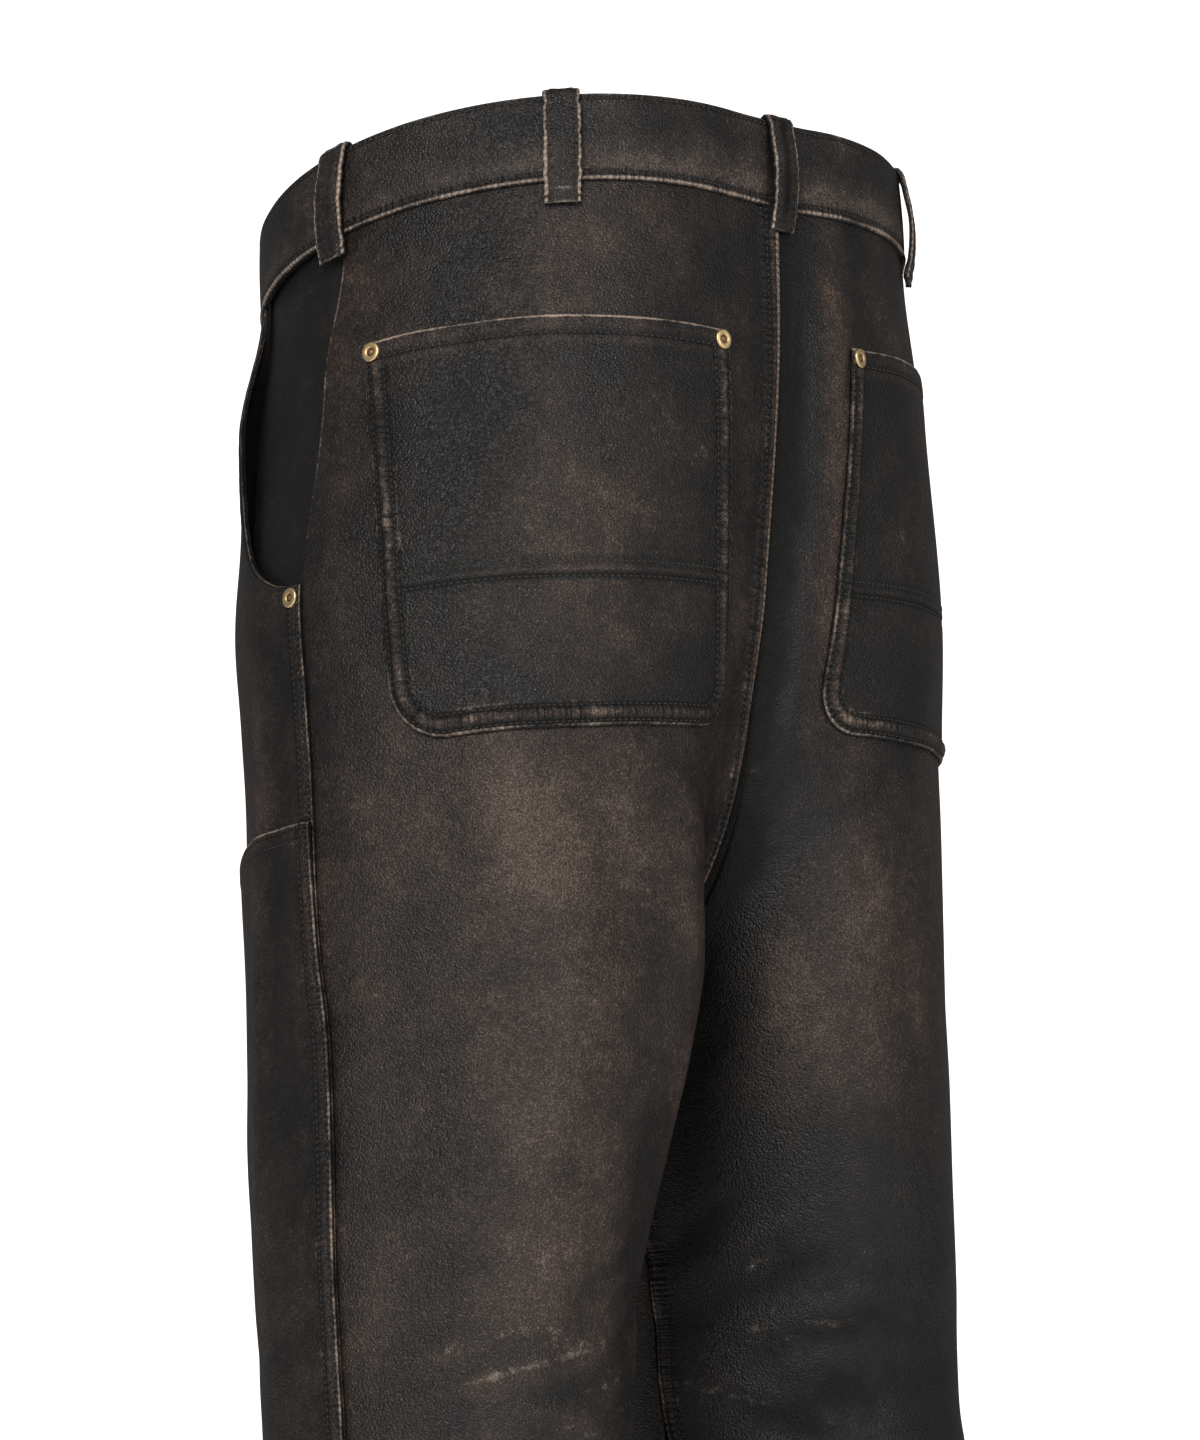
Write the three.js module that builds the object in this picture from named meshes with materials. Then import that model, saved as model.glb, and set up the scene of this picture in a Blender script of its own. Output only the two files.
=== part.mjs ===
// Leather work trousers, closed and filled out as they are when worn, with nobody in them.
// Millimetres, +Z up. The origin is the middle of the waist opening, the front faces -Y and the
// wearer's left is +X. Each piece that a maker cuts and sews or fixes on is one closed solid.
//
// A place on the garment is given by t and drop. Round one half, t runs from 0 at the centre
// front (or the inseam) through 0.5 at the side seam to 1 at the centre back (or the inseam).
// Drop is the distance below the waist edge.
import * as THREE from "three";

// Driving sizes
const OUTSEAM = 1062; // waist edge to hem
const CROTCH = 362; // drop of the lowest point of the crotch curve
const CROTCH_Y = 9.8;
const RISE_TOP = 196; // drop at which the seat starts to turn under
const CROTCH_BEND = 0.5; // at the centre seam it turns under in a quarter oval
const SEAT_BEND = 1.6; // and beside it the seat passes smoothly into the leg
const SEAT_SHARE = 0.3; // share of the inner quarter that is wholly seat
const WAIST_SLOPE = 0.22; // the waist edge is higher at the back: rise for each mm towards +Y
const EDGE_WAVE = -3.5; // and a little lower at the centre back and front than at the sides
const SLOPE_FADES = 330; // drop at which that slope is gone
const LEATHER = 1.4;
const SEAM = 0.3; // clearance between pieces that meet
const BED = 0.4; // clearance under a piece that lies on another
const BAND_HEIGHT = 40;
const BAND_THICK = 2.8; // two layers
const HEM = 25; // turned up inside, so the wall is doubled there
const HALF_ROUND = 500; // mm that one unit of t stands for in the table of folds

// Sections of the left half at a drop. An outer half oval has its middle at x, y and reaches
// out to the side, to the front and to the back. From its front and back points an inner
// quarter runs in to the centre seam, or under the crotch to the inseam, which stands off the
// middle plane. Peak is the share of t that the outer quarter takes. Cleft is how far the
// centre back lies in from the fullest part of the seat. Seam is how far behind t = 0.5 the
// side seam runs, in mm.
const SECTIONS = [
  { drop: 0, x: 34, y: 2, outer: 122, front: 125, back: 123, inseam: 0, peak: 0.82, cleft: 0, seam: 4 },
  { drop: 50, x: 40, y: 3, outer: 117, front: 121, back: 124, inseam: 0, peak: 0.81, cleft: 1, seam: 4 },
  { drop: 110, x: 42, y: 4, outer: 124, front: 123, back: 128, inseam: 0, peak: 0.8, cleft: 6, seam: 0 },
  { drop: 200, x: 58, y: 5, outer: 121, front: 116, back: 123, inseam: 0, peak: 0.74, cleft: 11, seam: 0 },
  { drop: 250, x: 63, y: 7, outer: 115, front: 111, back: 119, inseam: 0, peak: 0.71, cleft: 14, seam: 1 },
  { drop: 290, x: 66, y: 9, outer: 111, front: 108, back: 118, inseam: 2, peak: 0.68, cleft: 14, seam: 2 },
  { drop: 362, x: 64, y: 10, outer: 115, front: 104, back: 118, inseam: 7, peak: 0.61, cleft: 12, seam: 7 },
  { drop: 400, x: 72, y: 12, outer: 108, front: 100, back: 114, inseam: 11, peak: 0.58, cleft: 0, seam: 11 },
  { drop: 440, x: 83, y: 14, outer: 99, front: 94, back: 107, inseam: 17, peak: 0.55, cleft: 0, seam: 13 },
  { drop: 515, x: 99, y: 20, outer: 87, front: 84, back: 93, inseam: 30, peak: 0.52, cleft: 0, seam: 15 },
  { drop: 612, x: 105, y: 25, outer: 80, front: 79, back: 86, inseam: 34, peak: 0.5, cleft: 0, seam: 16 },
  { drop: 760, x: 112, y: 26, outer: 76, front: 77, back: 79, inseam: 42, peak: 0.5, cleft: 0, seam: 14 },
  { drop: 900, x: 118, y: 22, outer: 74, front: 75, back: 76, inseam: 50, peak: 0.5, cleft: 0, seam: 12 },
  { drop: 1062, x: 123, y: 17, outer: 71, front: 72, back: 74, inseam: 56, peak: 0.5, cleft: 0, seam: 10 },
];

// The largest folds: soft ridges (depth above 0) and troughs (below 0). Half is +1 on the
// wearer's left, -1 on the right and 0 on both. Turn is degrees from level, long and wide in mm.
const FOLDS = [
  { half: -1, t: 0.935, drop: 165, turn: 86, long: 140, wide: 17, depth: 3.5 },
  { half: -1, t: 0.985, drop: 160, turn: 88, long: 120, wide: 12, depth: -1.5 },
  { half: 1, t: 0.7, drop: 430, turn: 88, long: 190, wide: 30, depth: 4 },
  { half: 1, t: 0.8, drop: 440, turn: 84, long: 150, wide: 24, depth: -4 },
  { half: 1, t: 0.6, drop: 450, turn: 92, long: 180, wide: 24, depth: -3 },
  { half: -1, t: 0.76, drop: 480, turn: 92, long: 150, wide: 34, depth: 4 },
  { half: -1, t: 0.86, drop: 556, turn: 18, long: 70, wide: 17, depth: -5 },
  { half: -1, t: 0.8, drop: 606, turn: -12, long: 110, wide: 16, depth: -6 },
  { half: -1, t: 0.72, drop: 580, turn: 4, long: 90, wide: 16, depth: 4 },
  { half: 1, t: 0.74, drop: 598, turn: -9, long: 100, wide: 16, depth: -4 },
  { half: 1, t: 0.82, drop: 640, turn: 8, long: 100, wide: 16, depth: -5 },
  { half: -1, t: 0.76, drop: 660, turn: 6, long: 110, wide: 17, depth: -5 },
  { half: 0, t: 0.3, drop: 470, turn: 88, long: 150, wide: 24, depth: 4 },
  { half: 0, t: 0.12, drop: 410, turn: 58, long: 70, wide: 18, depth: -4 },
  { half: 0, t: 0.2, drop: 620, turn: -6, long: 80, wide: 16, depth: -4 },
  { half: 1, t: 0.3, drop: 905, turn: 12, long: 100, wide: 20, depth: -5 },
  { half: -1, t: 0.25, drop: 930, turn: -10, long: 100, wide: 20, depth: -5 },
  { half: 1, t: 0.75, drop: 960, turn: -9, long: 100, wide: 20, depth: -5 },
  { half: -1, t: 0.7, drop: 890, turn: 11, long: 100, wide: 20, depth: -5 },
];

// Front pocket mouth: a curve from the waistband round to the side seam, standing off the hip
const MOUTH_BOTTOM = 199; // drop where it meets the side seam
const MOUTH_ROUND = 52;
const MOUTH_SLANT = 30;
const MOUTH_GAPE = 6;
const MOUTH_REACH = 42; // how far from its edge the front lifts
const FACING_TUCK = 14; // how far the facing goes on under the front, and up behind the waistband
const FACING_SIDE = 12; // how far it goes on under the back
const FACING_INSET = { back: 1.3, front: 1.8 }; // distance behind the panels at its two sides
const FACING_RISES = 3; // it reaches the greater inset a third of the way across

// Fly: the left front laps over the right one
const FLY_BOTTOM = 205;
const FLY_LAP = 8;
const FLY_LIFT = 3.2;
const FLY_WIDTH = 40;
const LAP_ENDS = { from: 70, to: 26 }; // heights above the fly's foot where the lap runs out
const LIFT_ENDS = { above: 20, below: 15 };

// Behind the fly, from the middle plane to the right and left: a shield, and the zip on it
const SHIELD = { right: -26, left: 26, bottom: FLY_BOTTOM - 6 };
const ZIP = { right: -13, left: 15, bottom: FLY_BOTTOM - 18, thick: 0.8 };
const SLIDER = { wide: 8, foot: 6.8, shoulder: 9, neck: 10, tab: 4.8, length: 26, thick: 1.6 };
const SLIDER_SEAT = { aside: 6, below: 6 }; // from the middle plane and from the band

// Back patch pocket, in mm from the centre back seam and down from the waist edge
const POCKET = { inner: 39, width: 174, height: 178, radius: 24, narrows: 12, spreads: 8 };
const POCKET_DROPS = {
  left: { topInner: 101, topOuter: 98, bottomInner: 262, bottomOuter: 276 },
  right: { topInner: 97, topOuter: 88, bottomInner: 257, bottomOuter: 256 },
};
const POCKET_THICK = 1.6;

// Knee panel over each front. Its top edge falls towards the inseam to pass under the crotch.
const KNEE_TOP = 305;
const KNEE_FALL = 92;
const KNEE_EDGE = 1.2; // its turned-under top edge stands this much further out
const KNEE_BOTTOM = 772;
const KNEE_THICK = 1.3;

// Belt loops, as ring angles from the centre back in degrees, and their strap
const LOOPS = [
  { name: "belt_loop_back", angle: 0 },
  { name: "belt_loop_back_left", angle: 48 },
  { name: "belt_loop_back_right", angle: -48 },
  { name: "belt_loop_side_left", angle: 90 },
  { name: "belt_loop_side_right", angle: -90 },
  { name: "belt_loop_front_left", angle: 143 },
  { name: "belt_loop_front_right", angle: -143 },
];
const LOOP = { width: 16, top: -1, bottom: 50, thick: 2, bow: 3 };
const LOOP_STEP = { from: 1, to: 9 }; // below the band, where it comes down onto the panel

const INNER_EDGE = LEATHER + SEAM / 2; // a centre seam, on the body side, from the middle plane

const RIVET_RADIUS = 4.5;
const RIVET_INSET = 4.6; // from a pocket's corner
const MOUTH_RIVET = { below: 5, aside: 6.2 }; // from the foot of the pocket mouth
const BUTTON_RADIUS = 8.5;
const BUTTON_ANGLE = 176;
const BUTTON_GAP = 0.6;

const DEGREE = Math.PI / 180;
const clamp = THREE.MathUtils.clamp;
const mix = THREE.MathUtils.lerp;
const smooth = THREE.MathUtils.smoothstep;

// A smooth curve through one column of a table, with no overshoot between its rows.
function columnOf(table, key) {
  const x = table.map((row) => row.drop);
  const y = table.map((row) => row[key]);
  const slope = x.slice(1).map((v, i) => (y[i + 1] - y[i]) / (v - x[i]));
  const tangent = x.map((_, i) => {
    if (i === 0) return slope[0];
    if (i === x.length - 1) return slope[i - 1];
    if (slope[i - 1] * slope[i] <= 0) return 0;
    return 2 / (1 / slope[i - 1] + 1 / slope[i]);
  });
  return (drop) => {
    const at = clamp(drop, x[0], x[x.length - 1]);
    const i = Math.max(0, x.findIndex((v, k) => k + 1 === x.length - 1 || at <= x[k + 1]));
    const span = x[i + 1] - x[i];
    const u = (at - x[i]) / span;
    const keep = (1 + 2 * u) * (1 - u) ** 2;
    const leave = u * (1 - u) ** 2;
    const arrive = u * u * (u - 1);
    const next = u * u * (3 - 2 * u);
    return keep * y[i] + leave * span * tangent[i] + next * y[i + 1] + arrive * span * tangent[i + 1];
  };
}
const columnsOf = (table) =>
  Object.fromEntries(
    Object.keys(table[0])
      .filter((key) => key !== "drop")
      .map((key) => [key, columnOf(table, key)]),
  );
const section = columnsOf(SECTIONS);

function foldDepth(half, t, drop) {
  let depth = 0;
  for (const fold of FOLDS) {
    if (fold.half && fold.half !== half) continue;
    const across = (t - fold.t) * HALF_ROUND;
    const down = drop - fold.drop;
    const c = Math.cos(fold.turn * DEGREE);
    const s = Math.sin(fold.turn * DEGREE);
    const u = (across * c + down * s) / fold.long;
    const v = (down * c - across * s) / fold.wide;
    depth += fold.depth * Math.exp(-u * u - v * v);
  }
  return depth;
}

const sideT = (drop) => 0.5 + section.seam(drop) / HALF_ROUND;
const mouthShare = (drop) => clamp((drop - BAND_HEIGHT) / (MOUTH_BOTTOM - BAND_HEIGHT), 0, 1);

// Distance of the pocket mouth from the side seam.
function mouthReach(drop) {
  const s = mouthShare(drop);
  return MOUTH_ROUND * Math.sqrt(1 - s ** 6) + MOUTH_SLANT * (1 - s);
}

// How far the front lifts off the hip beside the pocket mouth.
function mouthLift(t, drop) {
  if (drop > MOUTH_BOTTOM) return 0;
  const s = mouthShare(drop);
  const fromSide = (sideT(drop) - t) * HALF_ROUND;
  const beside = smooth(MOUTH_REACH - (fromSide - mouthReach(drop)), 0, MOUTH_REACH);
  return MOUTH_GAPE * beside * Math.sin(Math.PI * s ** 0.8) ** 2;
}

// How far the left front stands off the right one along the fly. T is below 0 past the centre.
function flyLift(t, drop) {
  const fromFront = t * HALF_ROUND;
  const along = 1 - smooth(drop, FLY_BOTTOM - LIFT_ENDS.above, FLY_BOTTOM + LIFT_ENDS.below);
  return FLY_LIFT * along * (1 - smooth(fromFront, FLY_WIDTH * 0.5, FLY_WIDTH * 1.4));
}

// A point on the body side of the leather, on the half given by half (+1 left, -1 right).
function body(half, t, drop, lift = 0) {
  const share = Math.abs(2 * t - 1);
  const back = t > 0.5;
  const peak = section.peak(drop);
  const [x, y] = [section.x(drop), section.y(drop)];
  const deep = back ? section.back(drop) : -section.front(drop);
  let point;
  let normal;
  if (share <= peak) {
    const angle = ((share / peak) * Math.PI) / 2;
    const outer = section.outer(drop);
    point = [x + outer * Math.cos(angle), y + deep * Math.sin(angle)];
    normal = [Math.cos(angle) / outer, Math.sin(angle) / deep];
  } else {
    const under = clamp((drop - RISE_TOP) / (CROTCH - RISE_TOP), 0, 1);
    const inner = (share - peak) / (1 - peak);
    const bend = mix(SEAT_BEND, CROTCH_BEND, smooth(inner, SEAT_SHARE, 1));
    const turned = 1 - (1 - under * under) ** bend;
    const angle = mix(Math.asin(inner), (inner * Math.PI) / 2, turned);
    const cleft = back ? section.cleft(drop) : 0;
    const seamY = mix(y + deep - cleft, CROTCH_Y, turned);
    const legY = drop < CROTCH ? seamY : y;
    const reach = x - section.inseam(drop) - (drop < CROTCH ? INNER_EDGE : 0);
    const rise = y + deep - legY;
    const full = drop < CROTCH ? 2 - turned : 1;
    point = [x - reach * Math.sin(angle), legY + rise * Math.cos(angle) ** full];
    normal = [-Math.sin(angle) * turned, Math.sign(deep) * mix(1, Math.cos(angle), turned)];
  }
  const out = (foldDepth(half, t, drop) + lift) / Math.hypot(...normal);
  const fade = 1 - smooth(drop, 0, SLOPE_FADES);
  const edge = (WAIST_SLOPE * point[1] + EDGE_WAVE * Math.cos(2 * Math.PI * t)) * fade;
  return new THREE.Vector3(
    half * (point[0] + normal[0] * out),
    point[1] + normal[1] * out,
    edge - drop,
  );
}

// The same past t = 0 or 1: over the middle plane above the crotch, round the leg below it.
function bodyRound(half, t, drop, lift) {
  if (t >= 0 && t <= 1) return body(half, t, drop, lift(t, drop));
  if (drop >= CROTCH) return body(half, t - Math.floor(t), drop, lift(t - Math.floor(t), drop));
  const point = body(half, t < 0 ? -t : 2 - t, drop, lift(t, drop));
  point.x = -point.x;
  return point;
}

// A point of a layer: its place, moved out from the body side along the cloth's own normal.
// Lift is a function of t and drop, and moves the cloth before its normal is taken.
const NO_LIFT = () => 0;
function layer(half, t, drop, out, lift = NO_LIFT) {
  const stepT = 0.006;
  const stepDrop = 3;
  const at = (u, d) => bodyRound(half, u, d, lift);
  const round = at(t + stepT, drop).sub(at(t - stepT, drop));
  const down = at(t, drop + stepDrop).sub(at(t, drop - stepDrop));
  const normal = down.cross(round).multiplyScalar(half).normalize();
  const point = at(t, drop).addScaledVector(normal, out);
  if (drop < CROTCH && t >= 0 && t <= 1) {
    const edge = INNER_EDGE - out;
    point.x = t === 0 || t === 1 ? half * edge : half * Math.max(half * point.x, edge);
  }
  return point;
}

// The t that lies a number of mm round the section from a starting t, towards a higher t.
function tAlong(start, mm, drop) {
  const step = 0.004 * Math.sign(mm || 1);
  let left = Math.abs(mm);
  let t = start;
  let here = body(1, t, drop);
  while (t >= 0 && t <= 1) {
    const there = body(1, clamp(t + step, 0, 1), drop);
    const length = Math.hypot(there.x - here.x, there.y - here.y);
    if (length >= left || length === 0) return clamp(t + (step * left) / (length || 1), 0, 1);
    left -= length;
    t += step;
    here = there;
  }
  return clamp(t, 0, 1);
}

// A closed wall from a grid: place(i, j) gives [inner point, outer point].
function wall(columns, rows, place) {
  const stride = (columns + 1) * (rows + 1);
  const positions = new Float32Array(stride * 2 * 3);
  for (let j = 0; j <= rows; j++)
    for (let i = 0; i <= columns; i++)
      place(i, j).forEach((point, side) =>
        point.toArray(positions, (side * stride + j * (columns + 1) + i) * 3),
      );
  const at = (side, i, j) => side * stride + j * (columns + 1) + i;
  const faces = [];
  const quad = (a, b, c, d) => faces.push(a, b, c, a, c, d);
  for (let j = 0; j < rows; j++)
    for (let i = 0; i < columns; i++) {
      quad(at(1, i, j), at(1, i + 1, j), at(1, i + 1, j + 1), at(1, i, j + 1));
      quad(at(0, i, j), at(0, i, j + 1), at(0, i + 1, j + 1), at(0, i + 1, j));
    }
  for (let i = 0; i < columns; i++) {
    quad(at(0, i, 0), at(0, i + 1, 0), at(1, i + 1, 0), at(1, i, 0));
    quad(at(1, i, rows), at(1, i + 1, rows), at(0, i + 1, rows), at(0, i, rows));
  }
  for (let j = 0; j < rows; j++) {
    quad(at(1, 0, j), at(1, 0, j + 1), at(0, 0, j + 1), at(0, 0, j));
    quad(at(0, columns, j), at(0, columns, j + 1), at(1, columns, j + 1), at(1, columns, j));
  }
  return facingOut(positions, faces);
}

// The geometry of those faces, without the ones that close up, turned round if they face in.
function facingOut(positions, faces) {
  const index = [];
  let volume = 0;
  for (let k = 0; k < faces.length; k += 3) {
    const [a, b, c] = [0, 1, 2].map((n) =>
      new THREE.Vector3().fromArray(positions, faces[k + n] * 3),
    );
    if (a.equals(b) || b.equals(c) || c.equals(a)) continue;
    volume += a.dot(b.cross(c));
    index.push(faces[k], faces[k + 1], faces[k + 2]);
  }
  if (volume < 0) index.reverse();
  const geometry = new THREE.BufferGeometry();
  geometry.setAttribute("position", new THREE.BufferAttribute(positions, 3));
  geometry.setIndex(index);
  geometry.computeVertexNormals();
  return geometry;
}

// Numbers from first to last in equal steps, at most step apart.
function spread(first, last, step) {
  const count = Math.max(1, Math.ceil(Math.abs(last - first) / step - 1e-9));
  return Array.from({ length: count + 1 }, (_, i) => mix(first, last, i / count));
}

// Drops down a panel, closer where the crotch curve turns under and doubled at the hem fold.
const PANEL_TOP = BAND_HEIGHT + SEAM;
const CURVE_ROWS = 9;
const LEG_STEP = 28;
const SEAT_STEP = 24;
const HIP_STEP = 22;
const UNDER_CROTCH = 6;
const MOUTH_TURN = [30, 20, 13, 7.5, 3, 0]; // heights where the pocket mouth turns to the side
const turnUnder = Array.from(
  { length: CURVE_ROWS },
  (_, i) => RISE_TOP + (CROTCH - RISE_TOP) * Math.sin(((i + 1) / CURVE_ROWS) * (Math.PI / 2)),
);
const legDrops = [
  ...spread(CROTCH + UNDER_CROTCH, KNEE_BOTTOM, LEG_STEP),
  ...spread(KNEE_BOTTOM + LEG_STEP, OUTSEAM - HEM - 1, LEG_STEP),
  OUTSEAM - HEM,
  OUTSEAM,
];
const backDrops = [...spread(PANEL_TOP, RISE_TOP, SEAT_STEP), ...turnUnder, ...legDrops];
const frontDrops = [
  ...spread(PANEL_TOP, MOUTH_BOTTOM - MOUTH_TURN[0] - 12, HIP_STEP),
  ...MOUTH_TURN.map((above) => MOUTH_BOTTOM - above),
  ...turnUnder,
  ...legDrops,
];

// The hem is turned up inside, so its wall is twice as thick, inwards.
const innerFace = (drop) => (drop >= OUTSEAM - HEM ? -LEATHER : 0);
const PANEL_COLUMNS = 11;
const HALF_SEAM = SEAM / 2 / HALF_ROUND;
const middleSeam = (drop) => (drop < CROTCH ? 0 : HALF_SEAM);

// The t of a share of a panel's width, from its front edge to its back edge.
const backT = (share, drop) => mix(sideT(drop) + HALF_SEAM, 1 - middleSeam(drop), share);
function frontT(half, share, drop) {
  const run = 1 - smooth(drop, FLY_BOTTOM - LAP_ENDS.from, FLY_BOTTOM - LAP_ENDS.to);
  const lap = half > 0 ? FLY_LAP * run : 0;
  const first = middleSeam(drop) - lap / HALF_ROUND;
  const last = sideT(drop) - HALF_SEAM;
  if (drop >= MOUTH_BOTTOM) return mix(first, last, share);
  return mix(first, Math.min(last, tAlong(sideT(drop), -mouthReach(drop), drop)), share);
}

// The left front laps over the right one at the fly, and both lift at the pocket mouth.
const frontLift = (half) => (t, drop) => mouthLift(t, drop) + (half > 0 ? flyLift(t, drop) : 0);

// A panel's wall, and a function for the place on its flat outer facets at any t and drop.
function panelOf(half, drops, tOf, lift) {
  const spot = (i, j, out) => layer(half, tOf(i / PANEL_COLUMNS, drops[j]), drops[j], out, lift);
  const geometry = wall(PANEL_COLUMNS, drops.length - 1, (i, j) => [
    spot(i, j, innerFace(drops[j])),
    spot(i, j, LEATHER),
  ]);
  const facet = (t, drop) => {
    const above = drops.findIndex((d, k) => k + 2 === drops.length || drop < drops[k + 1]);
    const v = clamp((drop - drops[above]) / (drops[above + 1] - drops[above]), 0, 1);
    const edge = (share) => mix(tOf(share, drops[above]), tOf(share, drops[above + 1]), v);
    const column = clamp(((t - edge(0)) / (edge(1) - edge(0))) * PANEL_COLUMNS, 0, PANEL_COLUMNS);
    const i = Math.min(Math.floor(column), PANEL_COLUMNS - 1);
    const u = column - i;
    const [near, far] = [spot(i, above, LEATHER), spot(i + 1, above + 1, LEATHER)];
    const side = u > v ? spot(i + 1, above, LEATHER) : spot(i, above + 1, LEATHER);
    const aside = side.sub(near).multiplyScalar(Math.abs(u - v));
    const diagonal = far.sub(near).multiplyScalar(Math.min(u, v));
    return near.add(aside).add(diagonal);
  };
  return { half, lift, geometry, facet };
}

// A place over a panel, out from its outer face, never closer where its facets stand proud.
function over(panel, t, drop, out) {
  const { half, lift, facet } = panel;
  const skin = layer(half, t, drop, LEATHER, lift);
  const normal = layer(half, t, drop, LEATHER + 1, lift).sub(skin);
  const proud = Math.max(0, facet(t, drop).sub(skin).dot(normal));
  return skin.addScaledVector(normal, out + proud);
}

// The piece that shows inside the front pocket's mouth, tucked under both panels and the band.
function pocketFacing(half) {
  const drops = spread(PANEL_TOP - FACING_TUCK, MOUTH_BOTTOM + FACING_TUCK, HIP_STEP);
  const columns = 6;
  return wall(columns, drops.length - 1, (i, j) => {
    const drop = drops[j];
    const first = tAlong(sideT(drop), FACING_SIDE, drop);
    const last = tAlong(sideT(drop), -mouthReach(drop) - FACING_TUCK, drop);
    const t = mix(first, last, i / columns);
    const share = Math.min(1, (FACING_RISES * i) / columns);
    const inset = mix(FACING_INSET.back, FACING_INSET.front, share);
    return [inset + LEATHER, inset].map((far) => layer(half, t, drop, -far));
  });
}

// A ring of the hips at waistband level, angle 0 at the centre back and +90 at the left side.
function ring(degrees, drop, out) {
  const wrapped = ((degrees + 540) % 360) - 180;
  const half = wrapped < 0 ? -1 : 1;
  const point = layer(half, 1 - Math.abs(wrapped) / 180, drop, out);
  if (wrapped === 0 || Math.abs(wrapped) === 180) point.x = 0;
  return point;
}

// One strip round the waist. Its left end laps over its right end at the centre front.
const BAND_UNDER = 8; // degrees that the right end goes on under the left one
const BAND_OVER = 3;
const BAND_CLIMB = { from: 16, to: 3 }; // degrees before the lap where the left end climbs
const BAND_GAP = 0.6; // clearance inside the lap
function waistband() {
  const angles = spread(-180 - BAND_UNDER, 180 + BAND_OVER, 8);
  const drops = [0, BAND_HEIGHT / 2, BAND_HEIGHT];
  return wall(angles.length - 1, drops.length - 1, (i, j) => {
    const meets = 180 - BAND_UNDER;
    const lap = smooth(angles[i], meets - BAND_CLIMB.from, meets - BAND_CLIMB.to);
    const out = lap * (BAND_THICK + BAND_GAP);
    return [ring(angles[i], drops[j], out), ring(angles[i], drops[j], out + BAND_THICK)];
  });
}

// A place some mm to one side of a ring angle.
function besideRing(degrees, aside, drop, out) {
  if (degrees === 0) {
    if (aside === 0) return ring(0, drop, out);
    return layer(Math.sign(aside), tAlong(1, INNER_EDGE - Math.abs(aside), drop), drop, out);
  }
  const half = Math.sign(degrees);
  return layer(half, tAlong(1 - Math.abs(degrees) / 180, -half * aside, drop), drop, out);
}

// A strap from the top of the band to the panel below it, bowed so that a belt can pass.
function beltLoop(angle) {
  const columns = 2;
  const drops = spread(LOOP.top, LOOP.bottom, 6);
  return wall(columns, drops.length - 1, (i, j) => {
    const drop = drops[j];
    const share = (drop - LOOP.top) / (LOOP.bottom - LOOP.top);
    const below = smooth(drop - BAND_HEIGHT, LOOP_STEP.from, LOOP_STEP.to);
    const seat = mix(BAND_THICK, LEATHER, below);
    const out = seat + BED + LOOP.bow * Math.sin(Math.PI * share) ** 1.5;
    const aside = LOOP.width * (i / columns - 0.5);
    const place = (far) => {
      const point = besideRing(angle, aside, Math.max(drop, 0), far);
      point.z -= Math.min(drop, 0);
      return point;
    };
    return [place(out), place(out + LOOP.thick)];
  });
}

// A place on the back pocket: across in mm from its inner edge and down in mm from its top.
function onPocket(panel, across, down, out) {
  const aside = across / POCKET.width;
  const drops = POCKET_DROPS[panel.half > 0 ? "left" : "right"];
  const top = mix(drops.topInner, drops.topOuter, aside);
  const bottom = mix(drops.bottomInner, drops.bottomOuter, aside);
  const drop = mix(top, bottom, down / POCKET.height);
  const t = tAlong(1, -(POCKET.inner + across), drop);
  return over(panel, t, drop, out);
}

// Side limits of the pocket at a depth: it narrows downwards and ends in round corners.
function pocketEdges(down) {
  const share = down / POCKET.height;
  const into = Math.max(0, down - (POCKET.height - POCKET.radius));
  const corner = POCKET.radius - Math.sqrt(Math.max(0, POCKET.radius ** 2 - into ** 2));
  return [
    corner - POCKET.spreads * share,
    POCKET.width - POCKET.narrows * share - corner,
  ];
}

function backPocket(panel) {
  const columns = 14;
  const straight = spread(0, POCKET.height - POCKET.radius, 16);
  const round = [0.35, 0.62, 0.82, 0.95, 1].map(
    (s) => POCKET.height - POCKET.radius + POCKET.radius * s,
  );
  const downs = [...straight, ...round];
  return wall(columns, downs.length - 1, (i, j) => {
    const [from, to] = pocketEdges(downs[j]);
    const across = mix(from, to, i / columns);
    return [BED, BED + POCKET_THICK].map((out) => onPocket(panel, across, downs[j], out));
  });
}

// The panel over the front from mid thigh to shin, on the front's own columns and rows. Above
// its sloping top edge its rows close up into that edge.
function kneePanel(panel) {
  const rows = frontDrops.filter((drop) => drop > KNEE_TOP && drop <= KNEE_BOTTOM);
  rows.unshift(KNEE_TOP);
  return wall(PANEL_COLUMNS, rows.length - 1, (i, j) => {
    const share = i / PANEL_COLUMNS;
    const top = KNEE_TOP + KNEE_FALL * (1 - share) ** 2;
    const drop = Math.max(rows[j], top);
    const t = mix(middleSeam(drop), sideT(drop) - HALF_SEAM, share);
    const off = BED + KNEE_EDGE * (1 - smooth(drop - top, 0, 45));
    return [off, off + KNEE_THICK].map((out) => over(panel, t, drop, out));
  });
}

// A strip across the centre front behind the fly, between two places given as signed mm.
function flyStrip(right, left, bottom, out, thick) {
  const drops = spread(PANEL_TOP, bottom, 20);
  const across = spread(right, left, 12);
  return wall(across.length - 1, drops.length - 1, (i, j) => {
    const half = across[i] < 0 ? -1 : 1;
    const t = tAlong(0, Math.abs(across[i]), drops[j]);
    const place = (far) => {
      const point = layer(1, t, drops[j], far);
      point.x = half * (Math.abs(across[i]) < 1e-6 ? 0 : point.x);
      return point;
    };
    return [place(out - thick), place(out)];
  });
}

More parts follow.
